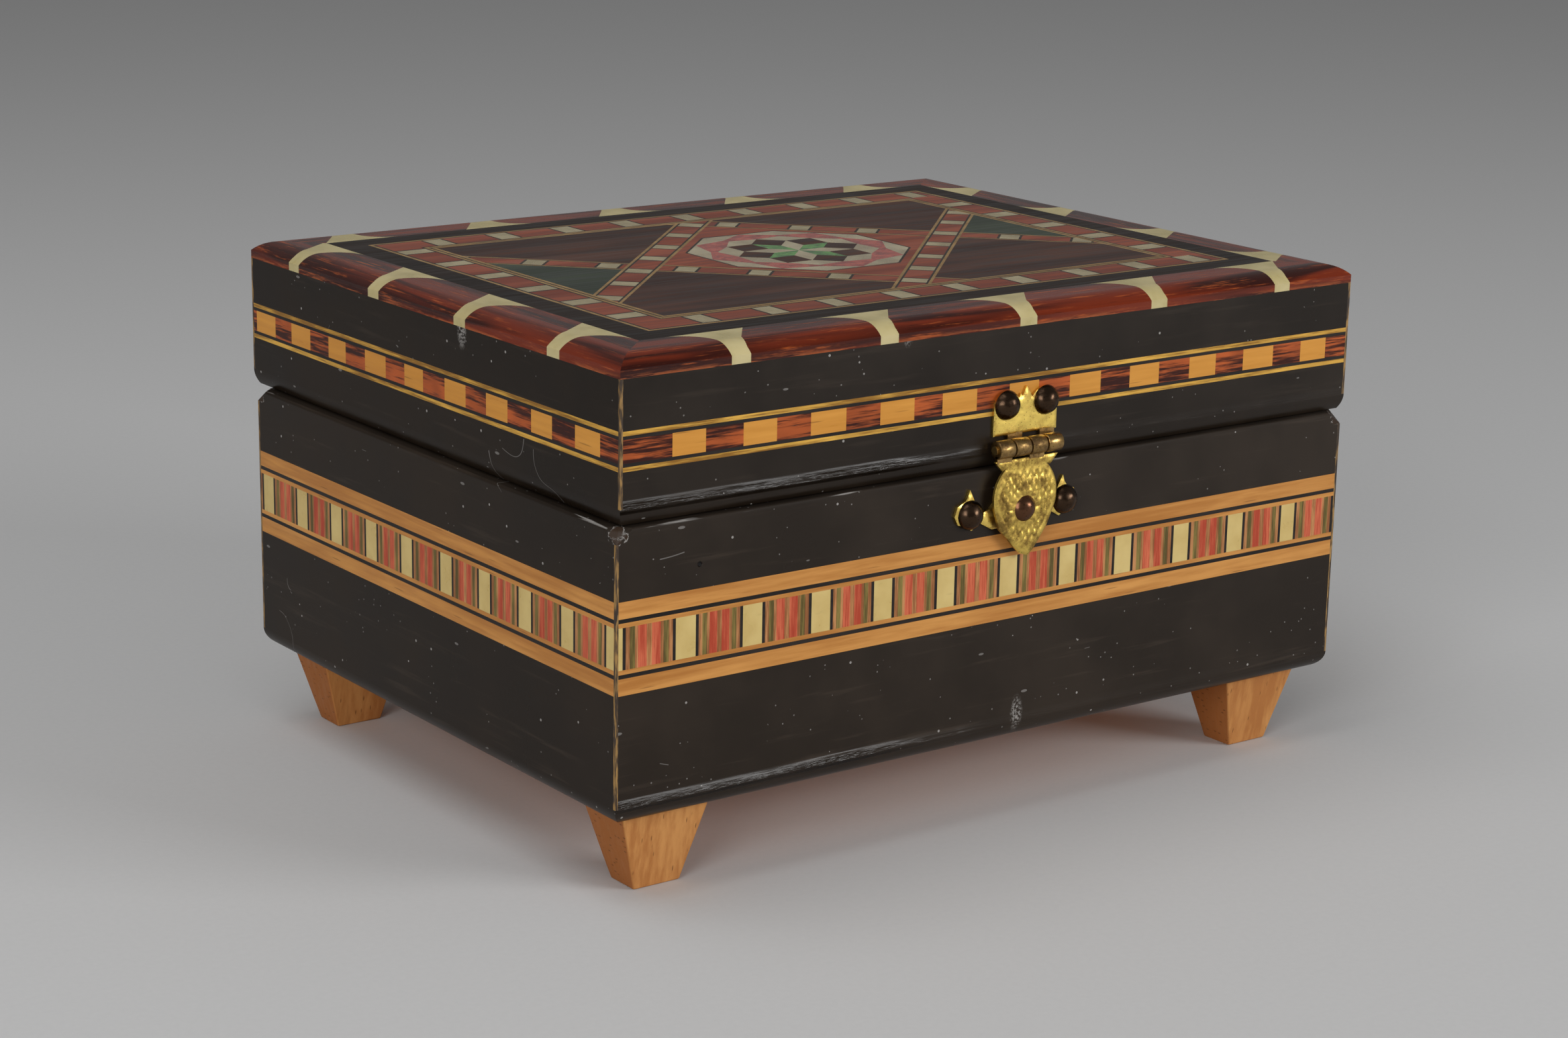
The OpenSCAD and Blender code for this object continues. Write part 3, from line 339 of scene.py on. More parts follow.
def bone(name, pale=(0.68, 0.51, 0.19), deep=(0.59, 0.42, 0.14)):
    """Yellowed bone, a little glossy, with faint streaks and dirt in its surface."""
    s = Shader(name)
    streak = s.noise(s.stretched((0.3, 1, 1), (0, 0, 0.3)), 900.0, 3.0)
    cloud = s.noise(s.where, 160.0, 3.0)
    color = s.mix(s.ramp(cloud, 0.3, 0.7), deep, pale)
    color = s.mix(s.ramp(streak, 0.60, 0.82, 0.0, 0.30), color, tuple(0.6 * c for c in deep))
    normal = s.bump(streak, 0.12, 0.00004)
    s.set(Base_Color=color, Roughness=s.ramp(cloud, 0.3, 0.7, 0.26, 0.40), Normal=normal)
    s.bsdf.inputs["Subsurface Weight"].default_value = 0.08
    s.bsdf.inputs["Subsurface Radius"].default_value = (0.0012, 0.0009, 0.0005)
    s.bsdf.inputs["Subsurface Scale"].default_value = 1.0
    return s.material


def shell(name, dark, light):
    """Dyed shell or plastic tile under varnish, cloudy and glossy."""
    s = Shader(name)
    cloud = s.noise(s.where, 420.0, 4.0, 0.6, 0.8)
    fine = s.noise(s.where, 2400.0, 2.0)
    color = s.mix(s.ramp(cloud, 0.36, 0.64), dark, light)
    s.set(Base_Color=color, Roughness=s.ramp(fine, 0.3, 0.7, 0.20, 0.34),
          Normal=s.bump(cloud, 0.12, 0.00005))
    s.bsdf.inputs["Coat Weight"].default_value = 0.3
    s.bsdf.inputs["Coat Roughness"].default_value = 0.15
    return s.material


def metal(name, base, tarnish, amount, rough, bump=0.5):
    """Yellow metal with cloudy tarnish, dark pits and fine scratches."""
    s = Shader(name)
    cloud = s.noise(s.where, 260.0, 5.0, 0.65, 0.5)
    grime = s.noise(s.where, 900.0, 4.0, 0.7)
    worn = s.math("ADD", s.math("MULTIPLY", cloud, 0.65), s.math("MULTIPLY", grime, 0.35))
    stain = s.ramp(worn, 0.60 - 0.22 * amount, 0.72 - 0.12 * amount)
    scratch = s.noise(s.stretched((0.15, 1, 1), (0.4, 0.2, 0.5)), 1500.0, 3.0)
    color = s.mix(stain, base, tarnish)
    color = s.mix(s.ramp(s.cells(s.where, 1900.0), 0.10, 0.22, 0.75, 0.0), color,
                  tuple(0.35 * c for c in tarnish))
    height = s.math("ADD", s.math("MULTIPLY", scratch, 0.4), s.math("MULTIPLY", worn, 0.6))
    s.set(Base_Color=color, Roughness=s.math("ADD", s.ramp(stain, 0, 1, rough, rough + 0.28),
                                             s.ramp(scratch, 0.4, 0.7, 0.0, 0.08)),
          Normal=s.bump(height, bump, 0.00006))
    s.bsdf.inputs["Metallic"].default_value = 1.0
    return s.material


def velvet(name, color=(0.19, 0.012, 0.022)):
    """Short-pile cotton velvet: sheen, pile direction patches and a fine nap."""
    s = Shader(name)
    patch = s.noise(s.where, 38.0, 3.0, 0.5, 0.4)
    nap = s.noise(s.where, 5200.0, 2.0, 0.7)
    base = s.mix(s.ramp(patch, 0.35, 0.65), tuple(0.72 * c for c in color), color)
    base = s.mix(s.ramp(nap, 0.35, 0.7, 0.0, 0.6), base, tuple(1.7 * c for c in color))
    s.set(Base_Color=base, Roughness=s.ramp(nap, 0.3, 0.7, 0.85, 0.97),
          Normal=s.bump(nap, 0.8, 0.00018))
    s.bsdf.inputs["Sheen Weight"].default_value = 0.7
    s.bsdf.inputs["Sheen Roughness"].default_value = 0.35
    s.bsdf.inputs["Sheen Tint"].default_value = (0.9, 0.45, 0.45, 1)
    s.bsdf.inputs["Specular IOR Level"].default_value = 0.15
    return s.material


def paper(name):
    """Plain matt backdrop paper."""
    s = Shader(name)
    fine = s.noise(s.where, 900.0, 3.0)
    s.set(Base_Color=s.mix(fine, (0.60, 0.60, 0.60), (0.64, 0.64, 0.64)), Roughness=0.75)
    s.bsdf.inputs["Specular IOR Level"].default_value = 0.3
    return s.material


def assign(material, *nodes):
    for n in nodes:
        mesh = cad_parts[n].data
        mesh.materials.clear()
        mesh.materials.append(material)


def dress_wood():
    body_low, body_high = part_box("left_wall")
    lid_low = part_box("lid_left_wall")[0]
    dent = (body_low.x + 15 * MM, body_high.z - 7.3 * MM)
    assign(lacquer("lacquer_front", "x", bead=body_low.z + 2.9 * MM, top=body_high.z, dimple=dent),
           "front_wall")
    assign(lacquer("lacquer_back", "x", top=body_high.z), "back_wall")
    assign(lacquer("lacquer_sides", "y", top=body_high.z, tone=0.9, level=0.15), "left_wall",
           "right_wall")
    assign(lacquer("lacquer_lid_front", "x", bead=lid_low.z + 2.4 * MM, tone=0.72), "lid_front_wall")
    assign(lacquer("lacquer_lid_back", "x", tone=0.75), "lid_back_wall")
    assign(lacquer("lacquer_lid_sides", "y", tone=0.75, level=0.15), "lid_left_wall",
           "lid_right_wall")
    assign(wood("plain_beech", (0.70, 0.22, 0.045), (0.88, 0.34, 0.080), gloss=0.6), "bottom_panel",
           "lid_board")
    assign(edge_veneer("veneer_edge"), "body_corner_edges", "lid_corner_edges")
    assign(wood("satinwood", (0.44, 0.175, 0.036), (0.66, 0.31, 0.080), "band", 0.36,
                scale=1100.0), "band_satinwood", "band_fine_lines")
    assign(wood("gold_line", (0.26, 0.12, 0.016), (0.74, 0.42, 0.070), "band", 0.36,
                scale=2600.0, contrast=1.6), "lid_gold_lines")
    assign(wood("light_block", (0.56, 0.235, 0.034), (0.72, 0.33, 0.058), "band", 0.34,
                contrast=0.7), "lid_light_blocks")
    assign(wood("mahogany_block", (0.035, 0.005, 0.002), (0.50, 0.105, 0.022), "band", 0.34,
                contrast=2.2, scale=2300.0), "lid_mahogany_blocks")
    assign(wood("ebony", (0.010, 0.0075, 0.006), (0.024, 0.017, 0.013), "band", 0.38,
                pores=0.2), "band_ebony", "lid_ebony_lines")
    assign(wood("ebony_top", (0.012, 0.008, 0.006), (0.030, 0.019, 0.014), gloss=0.42,
                pores=0.2, level=0.12), "top_ebony_border")
    assign(wood("dark_line", (0.018, 0.012, 0.008), (0.045, 0.028, 0.018), gloss=0.38),
           "top_dark_lines")
    assign(wood("top_gold_line", (0.22, 0.125, 0.040), (0.42, 0.26, 0.10), gloss=0.36,
                scale=1600.0), "top_gold_lines")
    assign(wood("coral_wood", (0.42, 0.055, 0.024), (0.66, 0.155, 0.072), "z", 0.38,
                scale=3600.0, contrast=1.3), "band_red_stripes")
    assign(wood("olive_wood", (0.10, 0.070, 0.018), (0.27, 0.20, 0.052), "z", 0.38,
                scale=3600.0, contrast=1.3), "band_olive_stripes")
    assign(wood("tan_wood", (0.26, 0.095, 0.030), (0.56, 0.26, 0.10), "z", 0.38,
                scale=3600.0, contrast=1.3), "band_tan_stripes")
    assign(wood("padauk", (0.17, 0.036, 0.018), (0.33, 0.090, 0.048), gloss=0.36,
                contrast=1.2, level=0.14), "top_red_blocks", "top_rose_panels")
    assign(wood("rosewood", (0.028, 0.010, 0.006), (0.090, 0.036, 0.022), gloss=0.36,
                contrast=1.3, level=0.14), "top_brown_panels", "rosette_dark")
    assign(wood("green_wood", (0.018, 0.026, 0.015), (0.046, 0.060, 0.036), gloss=0.36),
           "top_green_panels")
    for side, along in (("front", "x"), ("back", "x"), ("left", "y"), ("right", "y")):
        assign(mahogany("mahogany_" + along, along), "moulding_" + side)


def edge_veneer(name):
    """The edge of the mitre: dark brown, with golden streaks along its length."""
    s = Shader(name)
    fine = s.noise(s.stretched((1, 1, 0.12)), 2600.0, 3.0)
    color = s.mix(s.ramp(fine, 0.42, 0.62), (0.030, 0.015, 0.006), (0.34, 0.19, 0.050))
    s.set(Base_Color=color, Roughness=s.ramp(fine, 0.3, 0.7, 0.35, 0.55),
          Normal=s.bump(fine, 0.4, 0.00008))
    return s.material


def mahogany(name, along):
    """Glossy striped mahogany of the moulding, rubbed pale and open along its lower edge."""
    existing = bpy.data.materials.get(name)
    if existing:
        return existing
    s = Shader(name)
    grain = s.stretched(ALONG[along], (0.05, 0.04, 0.06))
    fibre = s.noise(grain, 1500.0, 4.0, 0.7)
    band = s.noise(grain, 330.0, 2.0, 0.5, 0.8)
    color = s.mix(s.ramp(band, 0.36, 0.62), (0.030, 0.0034, 0.0011), (0.165, 0.020, 0.0040))
    color = s.mix(s.ramp(fibre, 0.55, 0.70, 0.0, 0.75), color, (0.46, 0.100, 0.020))
    color = s.mix(s.ramp(s.cells(grain, 1500.0), 0.04, 0.15, 0.6, 0.0), color, (0.018, 0.004, 0.002))
    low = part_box("moulding_front")[0].z
    height_in = s.math("SUBTRACT", s.axes()[2], low)
    ragged = s.math("ADD", height_in, s.math("MULTIPLY", s.math("SUBTRACT", fibre, 0.5), 0.0050))
    worn = s.ramp(ragged, 0.0002, 0.0010, 1.0, 0.0)
    color = s.mix(s.math("MULTIPLY", worn, s.ramp(fibre, 0.46, 0.58, 0.0, 0.75)), color,
                  (0.50, 0.13, 0.036))
    s.set(Base_Color=color, Roughness=s.math("ADD", s.ramp(fibre, 0.3, 0.7, 0.20, 0.34),
                                             s.math("MULTIPLY", worn, 0.25)),
          Normal=s.bump(s.math("ADD", fibre, s.math("MULTIPLY", band, 0.6)), 0.45, 0.00010))
    s.bsdf.inputs["Coat Weight"].default_value = 0.18
    s.bsdf.inputs["Coat Roughness"].default_value = 0.06
    s.bsdf.inputs["IOR"].default_value = 1.5
    s.bsdf.inputs["Specular IOR Level"].default_value = 0.15
    return s.material


def dress_other():
    assign(bone("bone_tiles"), "band_bone_tiles")
    assign(bone("bone_hooks", (0.58, 0.49, 0.25), (0.47, 0.39, 0.17)), "bone_hooks")
    assign(bone("bone_top", (0.42, 0.36, 0.22), (0.31, 0.25, 0.13)), "top_bone_blocks")
    assign(bone("bone_rosette", (0.46, 0.40, 0.27), (0.33, 0.27, 0.17)), "rosette_bone")
    assign(shell("green_shell", (0.035, 0.13, 0.018), (0.10, 0.34, 0.045)), "rosette_green")
    assign(shell("red_shell", (0.26, 0.030, 0.018), (0.50, 0.085, 0.050)), "rosette_red")
    hinge_brass = metal("hinge_brass", (0.55, 0.38, 0.14), (0.16, 0.10, 0.04), 0.5, 0.32)
    assign(hinge_brass, "base_hinge_leaves", "lid_hinge_leaves", "hinge_pins", "hasp_pin",
           "base_hinge_nails", "lid_hinge_nails")


def make_floor():
    mesh = bpy.data.meshes.new("floor")
    r = FLOOR_REACH
    mesh.from_pydata([(-r, -r, 0), (r, -r, 0), (r, r, 0), (-r, r, 0)], [], [(0, 1, 2, 3)])
    floor = bpy.data.objects.new("floor", mesh)
    scene.collection.objects.link(floor)
    mesh.materials.append(paper("paper"))


# ---------------------------------------------------------------- modelled pieces

def piece(name, bm, body, slot, material, *nodes, smooth=35.0):
    """Finish a piece: normals out, smooth shading with sharp arrises, ride and replace; slot is not
    used.
    """
    bmesh.ops.remove_doubles(bm, verts=bm.verts, dist=1e-7)
    bmesh.ops.recalc_face_normals(bm, faces=bm.faces)
    limit = math.radians(smooth)
    for f in bm.faces:
        f.smooth = True
    for e in bm.edges:
        if len(e.link_faces) == 2 and e.calc_face_angle(0.0) > limit:
            e.smooth = False
    mesh = bpy.data.meshes.new(name)
    bm.to_mesh(mesh)
    bm.free()
    made = bpy.data.objects.new(name, mesh)
    scene.collection.objects.link(made)
    mesh.materials.append(material)
    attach(made, body)
    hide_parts(*nodes)
    return made


def clamp(value):
    return min(1.0, max(0.0, value))


def edge_distance(x, z, outline):
    best = 1e9
    for (ax, az), (bx, bz) in zip(outline, outline[1:] + outline[:1]):
        dx, dz = bx - ax, bz - az
        t = ((x - ax) * dx + (z - az) * dz) / max(dx * dx + dz * dz, 1e-12)
        t = clamp(t)
        best = min(best, math.hypot(x - ax - t * dx, z - az - t * dz))
    return best


def inside(x, z, outline):
    found = False
    for (ax, az), (bx, bz) in zip(outline, outline[1:] + outline[:1]):
        if (az > z) != (bz > z) and x < (bx - ax) * (z - az) / (bz - az) + ax:
            found = not found
    return found


def finely(outline, step):
    """The outline with extra points, so that no side is longer than step."""
    dense = []
    for (ax, az), (bx, bz) in zip(outline, outline[1:] + outline[:1]):
        n = max(1, round(math.hypot(bx - ax, bz - az) / step))
        dense += [(ax + (bx - ax) * k / n, az + (bz - az) * k / n) for k in range(n)]
    return dense


def relief_plate(bm, outline, front, back, relief, step, hole=None):
    """A stamped plate standing in the XZ plane; all lengths here are mm.

    relief(x, z, d) raises the front towards -Y, d being the distance from the plate's edge.
    """
    hole_sides = 24
    row_height = 0.866 * step    # of rows of equilateral triangles
    dense = finely(outline, step)
    points = [Vector(p) for p in dense]
    loops = [list(range(len(points)))]
    if hole:
        hx, hz, hr = hole
        turns = [k * math.tau / hole_sides for k in range(hole_sides)]
        ring = [(hx + hr * math.cos(a), hz + hr * math.sin(a)) for a in turns]
        points += [Vector(p) for p in ring]
    xs, zs = [p[0] for p in dense], [p[1] for p in dense]
    row = 0
    z = min(zs) + step / 2
    while z < max(zs):
        x = min(xs) + step * (0.5 if row % 2 else 1.0)
        while x < max(xs):
            clear = not hole or abs(math.hypot(x - hx, z - hz) - hr) > 0.4 * step
            if clear and inside(x, z, dense) and edge_distance(x, z, outline) > 0.45 * step:
                points.append(Vector((x, z)))
            x += step
        z += row_height
        row += 1
    flat, _, triangles, *_ = delaunay_2d_cdt(points, [], loops, 1, 1e-6)
    fronts, backs = [], []
    for x, z in flat:
        d = edge_distance(x, z, outline)
        if hole:
            d = min(d, abs(math.hypot(x - hx, z - hz) - hr))
        fronts.append(bm.verts.new(mm(x, front - relief(x, z, d), z)))
        backs.append(bm.verts.new(mm(x, back, z)))
    uses = {}
    for tri in triangles:
        mid = [sum(flat[i][c] for i in tri) / 3 for c in (0, 1)]
        if hole and math.hypot(mid[0] - hx, mid[1] - hz) < hr * 0.97:
            continue
        bm.faces.new([fronts[i] for i in tri])
        bm.faces.new([backs[i] for i in reversed(tri)])
        for a, b in ((tri[0], tri[1]), (tri[1], tri[2]), (tri[2], tri[0])):
            key = (min(a, b), max(a, b))
            uses[key] = None if key in uses else (a, b)
    for pair in uses.values():
        if pair:
            a, b = pair
            bm.faces.new((fronts[b], fronts[a], backs[a], backs[b]))
    for v in [v for v in bm.verts if not v.link_faces]:
        bm.verts.remove(v)


def barrel(bm, x0, x1, y, z, radius, bore, soften=0.14, segments=40):
    """One knuckle along X, with softened ends and a bore for the pin. Lengths in mm."""
    profile = [(x0 + 0.02, bore), (x0, bore + 0.1), (x0, radius - soften),
               (x0 + soften * 0.4, radius - soften * 0.4), (x0 + soften, radius),
               (x1 - soften, radius), (x1 - soften * 0.4, radius - soften * 0.4),
               (x1, radius - soften), (x1, bore + 0.1), (x1 - 0.02, bore)]
    rings = []
    for k in range(segments):
        a = k * math.tau / segments
        rings.append([bm.verts.new(mm(px, y + pr * math.cos(a), z + pr * math.sin(a)))
                      for px, pr in profile])
    for k, ring in enumerate(rings):
        after = rings[(k + 1) % segments]
        for j in range(len(profile)):
            i = (j + 1) % len(profile)
            bm.faces.new((ring[j], ring[i], after[i], after[j]))


def dome(bm, x, y, z, radius, height, seed, segments=40, rings=14):
    """A hammered nail head on a plate at y, bulging towards -Y. Lengths in mm."""
    ball = (radius * radius + height * height) / (2 * height)
    widest = math.asin(min(1.0, radius / ball))
    layers = []
    for j in range(rings):
        a = widest * (1 - j / rings)
        r, h = ball * math.sin(a), height - ball * (1 - math.cos(a))
        layer = []
        for k in range(segments):
            t = k * math.tau / segments
            px, pz = r * math.cos(t), r * math.sin(t)
            lump = noise.noise(Vector((px * 0.9 + seed, pz * 0.9, h))) * 0.10
            lump += noise.noise(Vector((px * 2.6, pz * 2.6 + seed, h))) * 0.035
            keep = min(1.0, h / 0.4)
            out = max(0.0, h + lump * keep * 0.6)
            layer.append(bm.verts.new(mm(x + px * (1 + 0.03 * lump), y - out, z + pz)))
        layers.append(layer)
    tip = bm.verts.new(mm(x, y - height, z))
    for low, high in zip(layers, layers[1:]):
        for k in range(segments):
            n = (k + 1) % segments
            bm.faces.new((low[k], low[n], high[n], high[k]))
    for k in range(segments):
        bm.faces.new((layers[-1][k], layers[-1][(k + 1) % segments], tip))
    bm.faces.new(layers[0])


def arc(cx, cz, radius, start, end, count):
    """count + 1 points of a circle from the start angle to the end angle, in degrees."""
    return [(cx + radius * math.cos(math.radians(start + (end - start) * k / count)),
             cz + radius * math.sin(math.radians(start + (end - start) * k / count)))
            for k in range(count + 1)]


def middle(node):
    """The middle, low corner and high corner of a node's box, in mm."""
    low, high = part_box(node)
    mid = [(a + b) / 2 / MM for a, b in zip(low, high)]
    return mid, [v / MM for v in low], [v / MM for v in high]


def worn_edge(d):
    """Height of a sheet's rubbed arris at a distance d from its edge, in mm."""
    depth, width = 0.16, 0.35
    return -depth * max(0.0, 1 - d / width) ** 2


def make_hasp():
    brass = metal("hasp_brass", (0.98, 0.71, 0.17), (0.44, 0.27, 0.07), 0.55, 0.27, 0.35)
    aged = metal("flap_brass", (0.80, 0.57, 0.13), (0.24, 0.15, 0.04), 1.0, 0.34, 0.2)
    brown = metal("barrel_brass", (0.40, 0.25, 0.09), (0.12, 0.07, 0.03), 0.6, 0.26, 0.25)
    bronze = metal("dark_bronze", (0.060, 0.036, 0.022), (0.026, 0.016, 0.011), 0.4, 0.24, 0.12)
    pin_mid, pin_low, pin_high = middle("hasp_pin")
    hasp_x, axis_y, axis_z = pin_mid
    width = pin_high[0] - pin_low[0] - 0.4
    pitch = width / 4
    knuckle = [(hasp_x - width / 2 + k * pitch + 0.15, hasp_x - width / 2 + (k + 1) * pitch - 0.15)
               for k in range(4)]
    radius, bore = 1.5, 0.75

    # the flap: flared top, neck, cupped belly stamped with scales, pointed foot
    face = axis_y - 0.2 - SHEET / 2
    top = axis_z - radius - 0.35
    belly = axis_z - 8.2
    foot = axis_z - 18.2
    knob_mid = middle("hasp_knob")[0]
    kx, kz = knob_mid[0] - hasp_x, knob_mid[2]
    right = [(6.5, top), (5.6, top - 1.0), (4.95, axis_z - 3.5)]
    right += arc(0, belly, 6.55, 50, -19, 14)
    right += [(5.5, belly - 3.6), (4.6, belly - 5.6), (3.1, belly - 7.6), (1.9, foot + 0.9), (0.9, foot)]
    left = [(-0.7, foot + 0.55), (-2.2, foot + 1.9), (-3.5, foot + 3.4), (-5.2, belly - 5.0)]
    left += arc(0, belly, 6.55, 199, 130, 14)
    left += [(-4.95, axis_z - 3.5), (-5.6, top - 1.0), (-6.5, top)]
    flap_x = hasp_x - 0.35
    outline = [(flap_x + x, z) for x, z in right + left]

    def flap_relief(x, z, d):
        px, pz = x - flap_x, z
        low = clamp((axis_z - 3.6 - pz) / 2.2)
        cup = 0.34 * low * (1 - math.exp(-d / 1.5))
        around = math.hypot(px - kx, pz - kz)
        u = px / 1.35 + (pz - kz) / 2.3
        v = px / 1.35 - (pz - kz) / 2.3
        u += 0.25 * noise.noise(Vector((px * 0.5, pz * 0.5, 7.0)))
        v += 0.25 * noise.noise(Vector((px * 0.5, pz * 0.5, 13.0)))
        nearest = min(abs(u - round(u)), abs(v - round(v)))
        groove = math.exp(-(nearest / 0.17) ** 2)
        leaf = 0.05 * (u - math.floor(u))
        seen = clamp((d - 0.7) / 0.5) * clamp((belly + 4.4 - pz) / 0.6)
        seen *= clamp((pz - foot - 2.6) / 0.8)
        ring = clamp((around - 3.1) / 0.4)
        pattern = seen * ring * (leaf - 0.20 * groove)
        if around < 3.7:
            turn = math.atan2(pz - kz, px - kx) * 14 / math.tau
            ray = math.exp(-((turn - round(turn)) / 0.16) ** 2)
            pattern -= 0.13 * ray * clamp((around - 2.1) / 0.3) * min(1.0, (3.7 - around) / 0.4)
        dent = 0.05 * noise.noise(Vector((x * 0.7, z * 0.7, 3.0)))
        return cup + pattern + dent + worn_edge(d)

    bm = bmesh.new()
    relief_plate(bm, outline, face, face + SHEET, flap_relief, 0.27)
    piece("hasp_flap_stamped", bm, "hasp_flap", "hasp_brass", aged, "hasp_flap")
    bm = bmesh.new()
    for k in (0, 2):
        x0, x1 = knuckle[k]
        barrel(bm, x0, x1, axis_y, axis_z, radius, bore)
        relief_plate(bm, [(x0, top - 0.5), (x1, top - 0.5), (x1, axis_z - 1.0), (x0, axis_z - 1.0)],
                     face + 0.04, face + SHEET - 0.04, lambda x, z, d: 0.0, 1.0)
    piece("hasp_flap_knuckles", bm, "hasp_flap", "hasp_brass", brown, "hasp_flap")

    # the leaf on the lid
    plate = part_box("lid_front_wall")[0].y / MM - SHEET
    low = axis_z + radius + 0.35
    nail_z = middle("hasp_nails")[0][2]
    shoulder = nail_z - 0.6
    half = width / 2 - 0.12
    leaf_x = hasp_x + 0.5
    outline = [(-half, low), (half, low)]
    outline += arc(half - 2.8, shoulder, 2.8, 0, 150, 12)
    outline += [(1.2, shoulder + 1.6), (0.1, shoulder + 3.3), (-0.7, shoulder + 1.7),
                (-1.1, shoulder + 2.2)]
    outline += arc(-half + 2.8, shoulder, 2.8, 30, 180, 12)
    outline = [(leaf_x + x, z) for x, z in outline]

    def leaf_relief(x, z, d):
        dent = 0.10 * noise.noise(Vector((x * 0.45, z * 0.45, 9.0)))
        dent += 0.05 * noise.noise(Vector((x * 1.6, z * 1.6, 5.0)))
        return dent + worn_edge(d)

    bm = bmesh.new()
    relief_plate(bm, outline, plate, plate + SHEET, leaf_relief, 0.42)
    piece("hasp_leaf_plate", bm, "lid", "hasp_brass", brass, "hasp_leaf")
    bm = bmesh.new()
    for k in (1, 3):
        x0, x1 = knuckle[k]
        barrel(bm, x0, x1, axis_y, axis_z, radius, bore - 0.05)
        relief_plate(bm, [(x0, axis_z), (x1, axis_z), (x1, low + 0.3), (x0, low + 0.3)], plate + 0.04,
                     plate + SHEET - 0.04, lambda x, z, d: 0.0, 1.0)
    piece("hasp_leaf_knuckles", bm, "lid", "hasp_brass", brown, "hasp_leaf")

    # the keeper and its ears
    keeper_mid, _, keeper_high = middle("keeper_plate")
    keeper_x = keeper_mid[0]
    keeper_z = keeper_high[2] - 4.1
    one_side = [(-0.1, 2.6), (3.6, 2.3), (5.6, 0.4), (7.0, -0.1), (8.1, 1.0), (8.9, 2.6), (9.7, 4.1),
                (10.1, 3.0), (10.6, 2.3), (12.2, 1.6), (12.7, 0), (12, -1.4), (10.2, -1.9),
                (9.2, -2.7), (7.4, -1.7), (5, -3)]
    outline = [(keeper_x + x, keeper_z + z) for x, z in one_side]
    outline += [(keeper_x - x, keeper_z + z) for x, z in reversed(one_side)]
    keeper_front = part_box("front_wall")[0].y / MM - SHEET

    def keeper_relief(x, z, d):
        return 0.06 * noise.noise(Vector((x * 0.8, z * 0.8, 1.0))) + worn_edge(d)

    bm = bmesh.new()
    relief_plate(bm, outline, keeper_front, keeper_front + SHEET, keeper_relief, 0.45,
                 (hasp_x + kx, kz, 1.7))
    piece("keeper_ears", bm, "base", "hasp_brass", brass, "keeper_plate")

    for name, node, body, y, nails, shift in (
            ("hasp_dome_nails", "hasp_nails", "lid", plate, 4.05, 0.5),
            ("keeper_dome_nails", "keeper_nails", "base", keeper_front, 9.85, 0.2)):
        mid = middle(node)[0]
        mid[0] += shift
        bm = bmesh.new()
        for n, side in enumerate((-1, 1)):
            dome(bm, mid[0] + side * nails, y, mid[2], 2.45, 1.9, 7.3 * n + len(name))
        piece(name, bm, body, "dark_nails", bronze, node)
    bm = bmesh.new()
    dome(bm, knob_mid[0] - 0.2, face, kz, 2.3, 1.45, 31.0)
    piece("hasp_knob_head", bm, "hasp_flap", "dark_nails", metal(
        "knob_copper", (0.13, 0.060, 0.032), (0.05, 0.025, 0.015), 0.5, 0.26, 0.15), "hasp_knob")


def make_feet():
    # the feet's faces that look along X get a darker colour: sawn end grain, and partly painted shade
    grain = wood("foot_wood", (0.44, 0.17, 0.045), (0.62, 0.29, 0.09), "z", 0.62, scale=1100.0,
                 pores=0.8, bump=0.5, end_grain_and_shade=(0.36, 0.125, 0.032))
    for depth in ("front", "back"):
        for side in ("left", "right"):
            node = f"foot_{depth}_{side}"
            bm = bmesh.new()
            bm.from_mesh(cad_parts[node].data)
            bmesh.ops.remove_doubles(bm, verts=bm.verts, dist=1e-7)
            bmesh.ops.dissolve_limit(bm, angle_limit=0.01, verts=bm.verts, edges=bm.edges)
            high = max(v.co.z for v in bm.verts)
            sharp = [e for e in bm.edges if min(v.co.z for v in e.verts) < high - 1e-5]
            bmesh.ops.bevel(bm, geom=sharp, offset=0.45 * MM, segments=3, profile=0.6,
                            affect="EDGES", clamp_overlap=True)
            bmesh.ops.triangulate(bm, faces=bm.faces)
            bmesh.ops.subdivide_edges(bm, edges=bm.edges, cuts=3, use_grid_fill=True)
            for v in bm.verts:
                if 0.0003 < v.co.z < high - 0.0003:
                    v.co += v.normal * (noise.noise(v.co * 260.0) * 0.00006)
            piece(node + "_worn", bm, "base", "raw_beech", grain, node, smooth=50.0)


# ---------------------------------------------------------------- lining

def rounded(half_x, half_y, radius, per_side, per_corner):
    """Points round a rectangle with rounded corners, the same number for any radius."""
    points = []
    for k in range(4):
        a0 = -90.0 + 90.0 * k
        cx = (half_x - radius) * (1 if k in (0, 1) else -1)
        cy = (half_y - radius) * (1 if k in (1, 2) else -1)
        corner = arc(cx, cy, radius, a0, a0 + 90.0, per_corner)
        if points:
            points += between(points[-1], corner[0], per_side)
        points += corner
    return points + between(points[-1], points[0], per_side)


def between(a, b, count):
    return [(a[0] + (b[0] - a[0]) * k / count, a[1] + (b[1] - a[1]) * k / count)
            for k in range(1, count)]


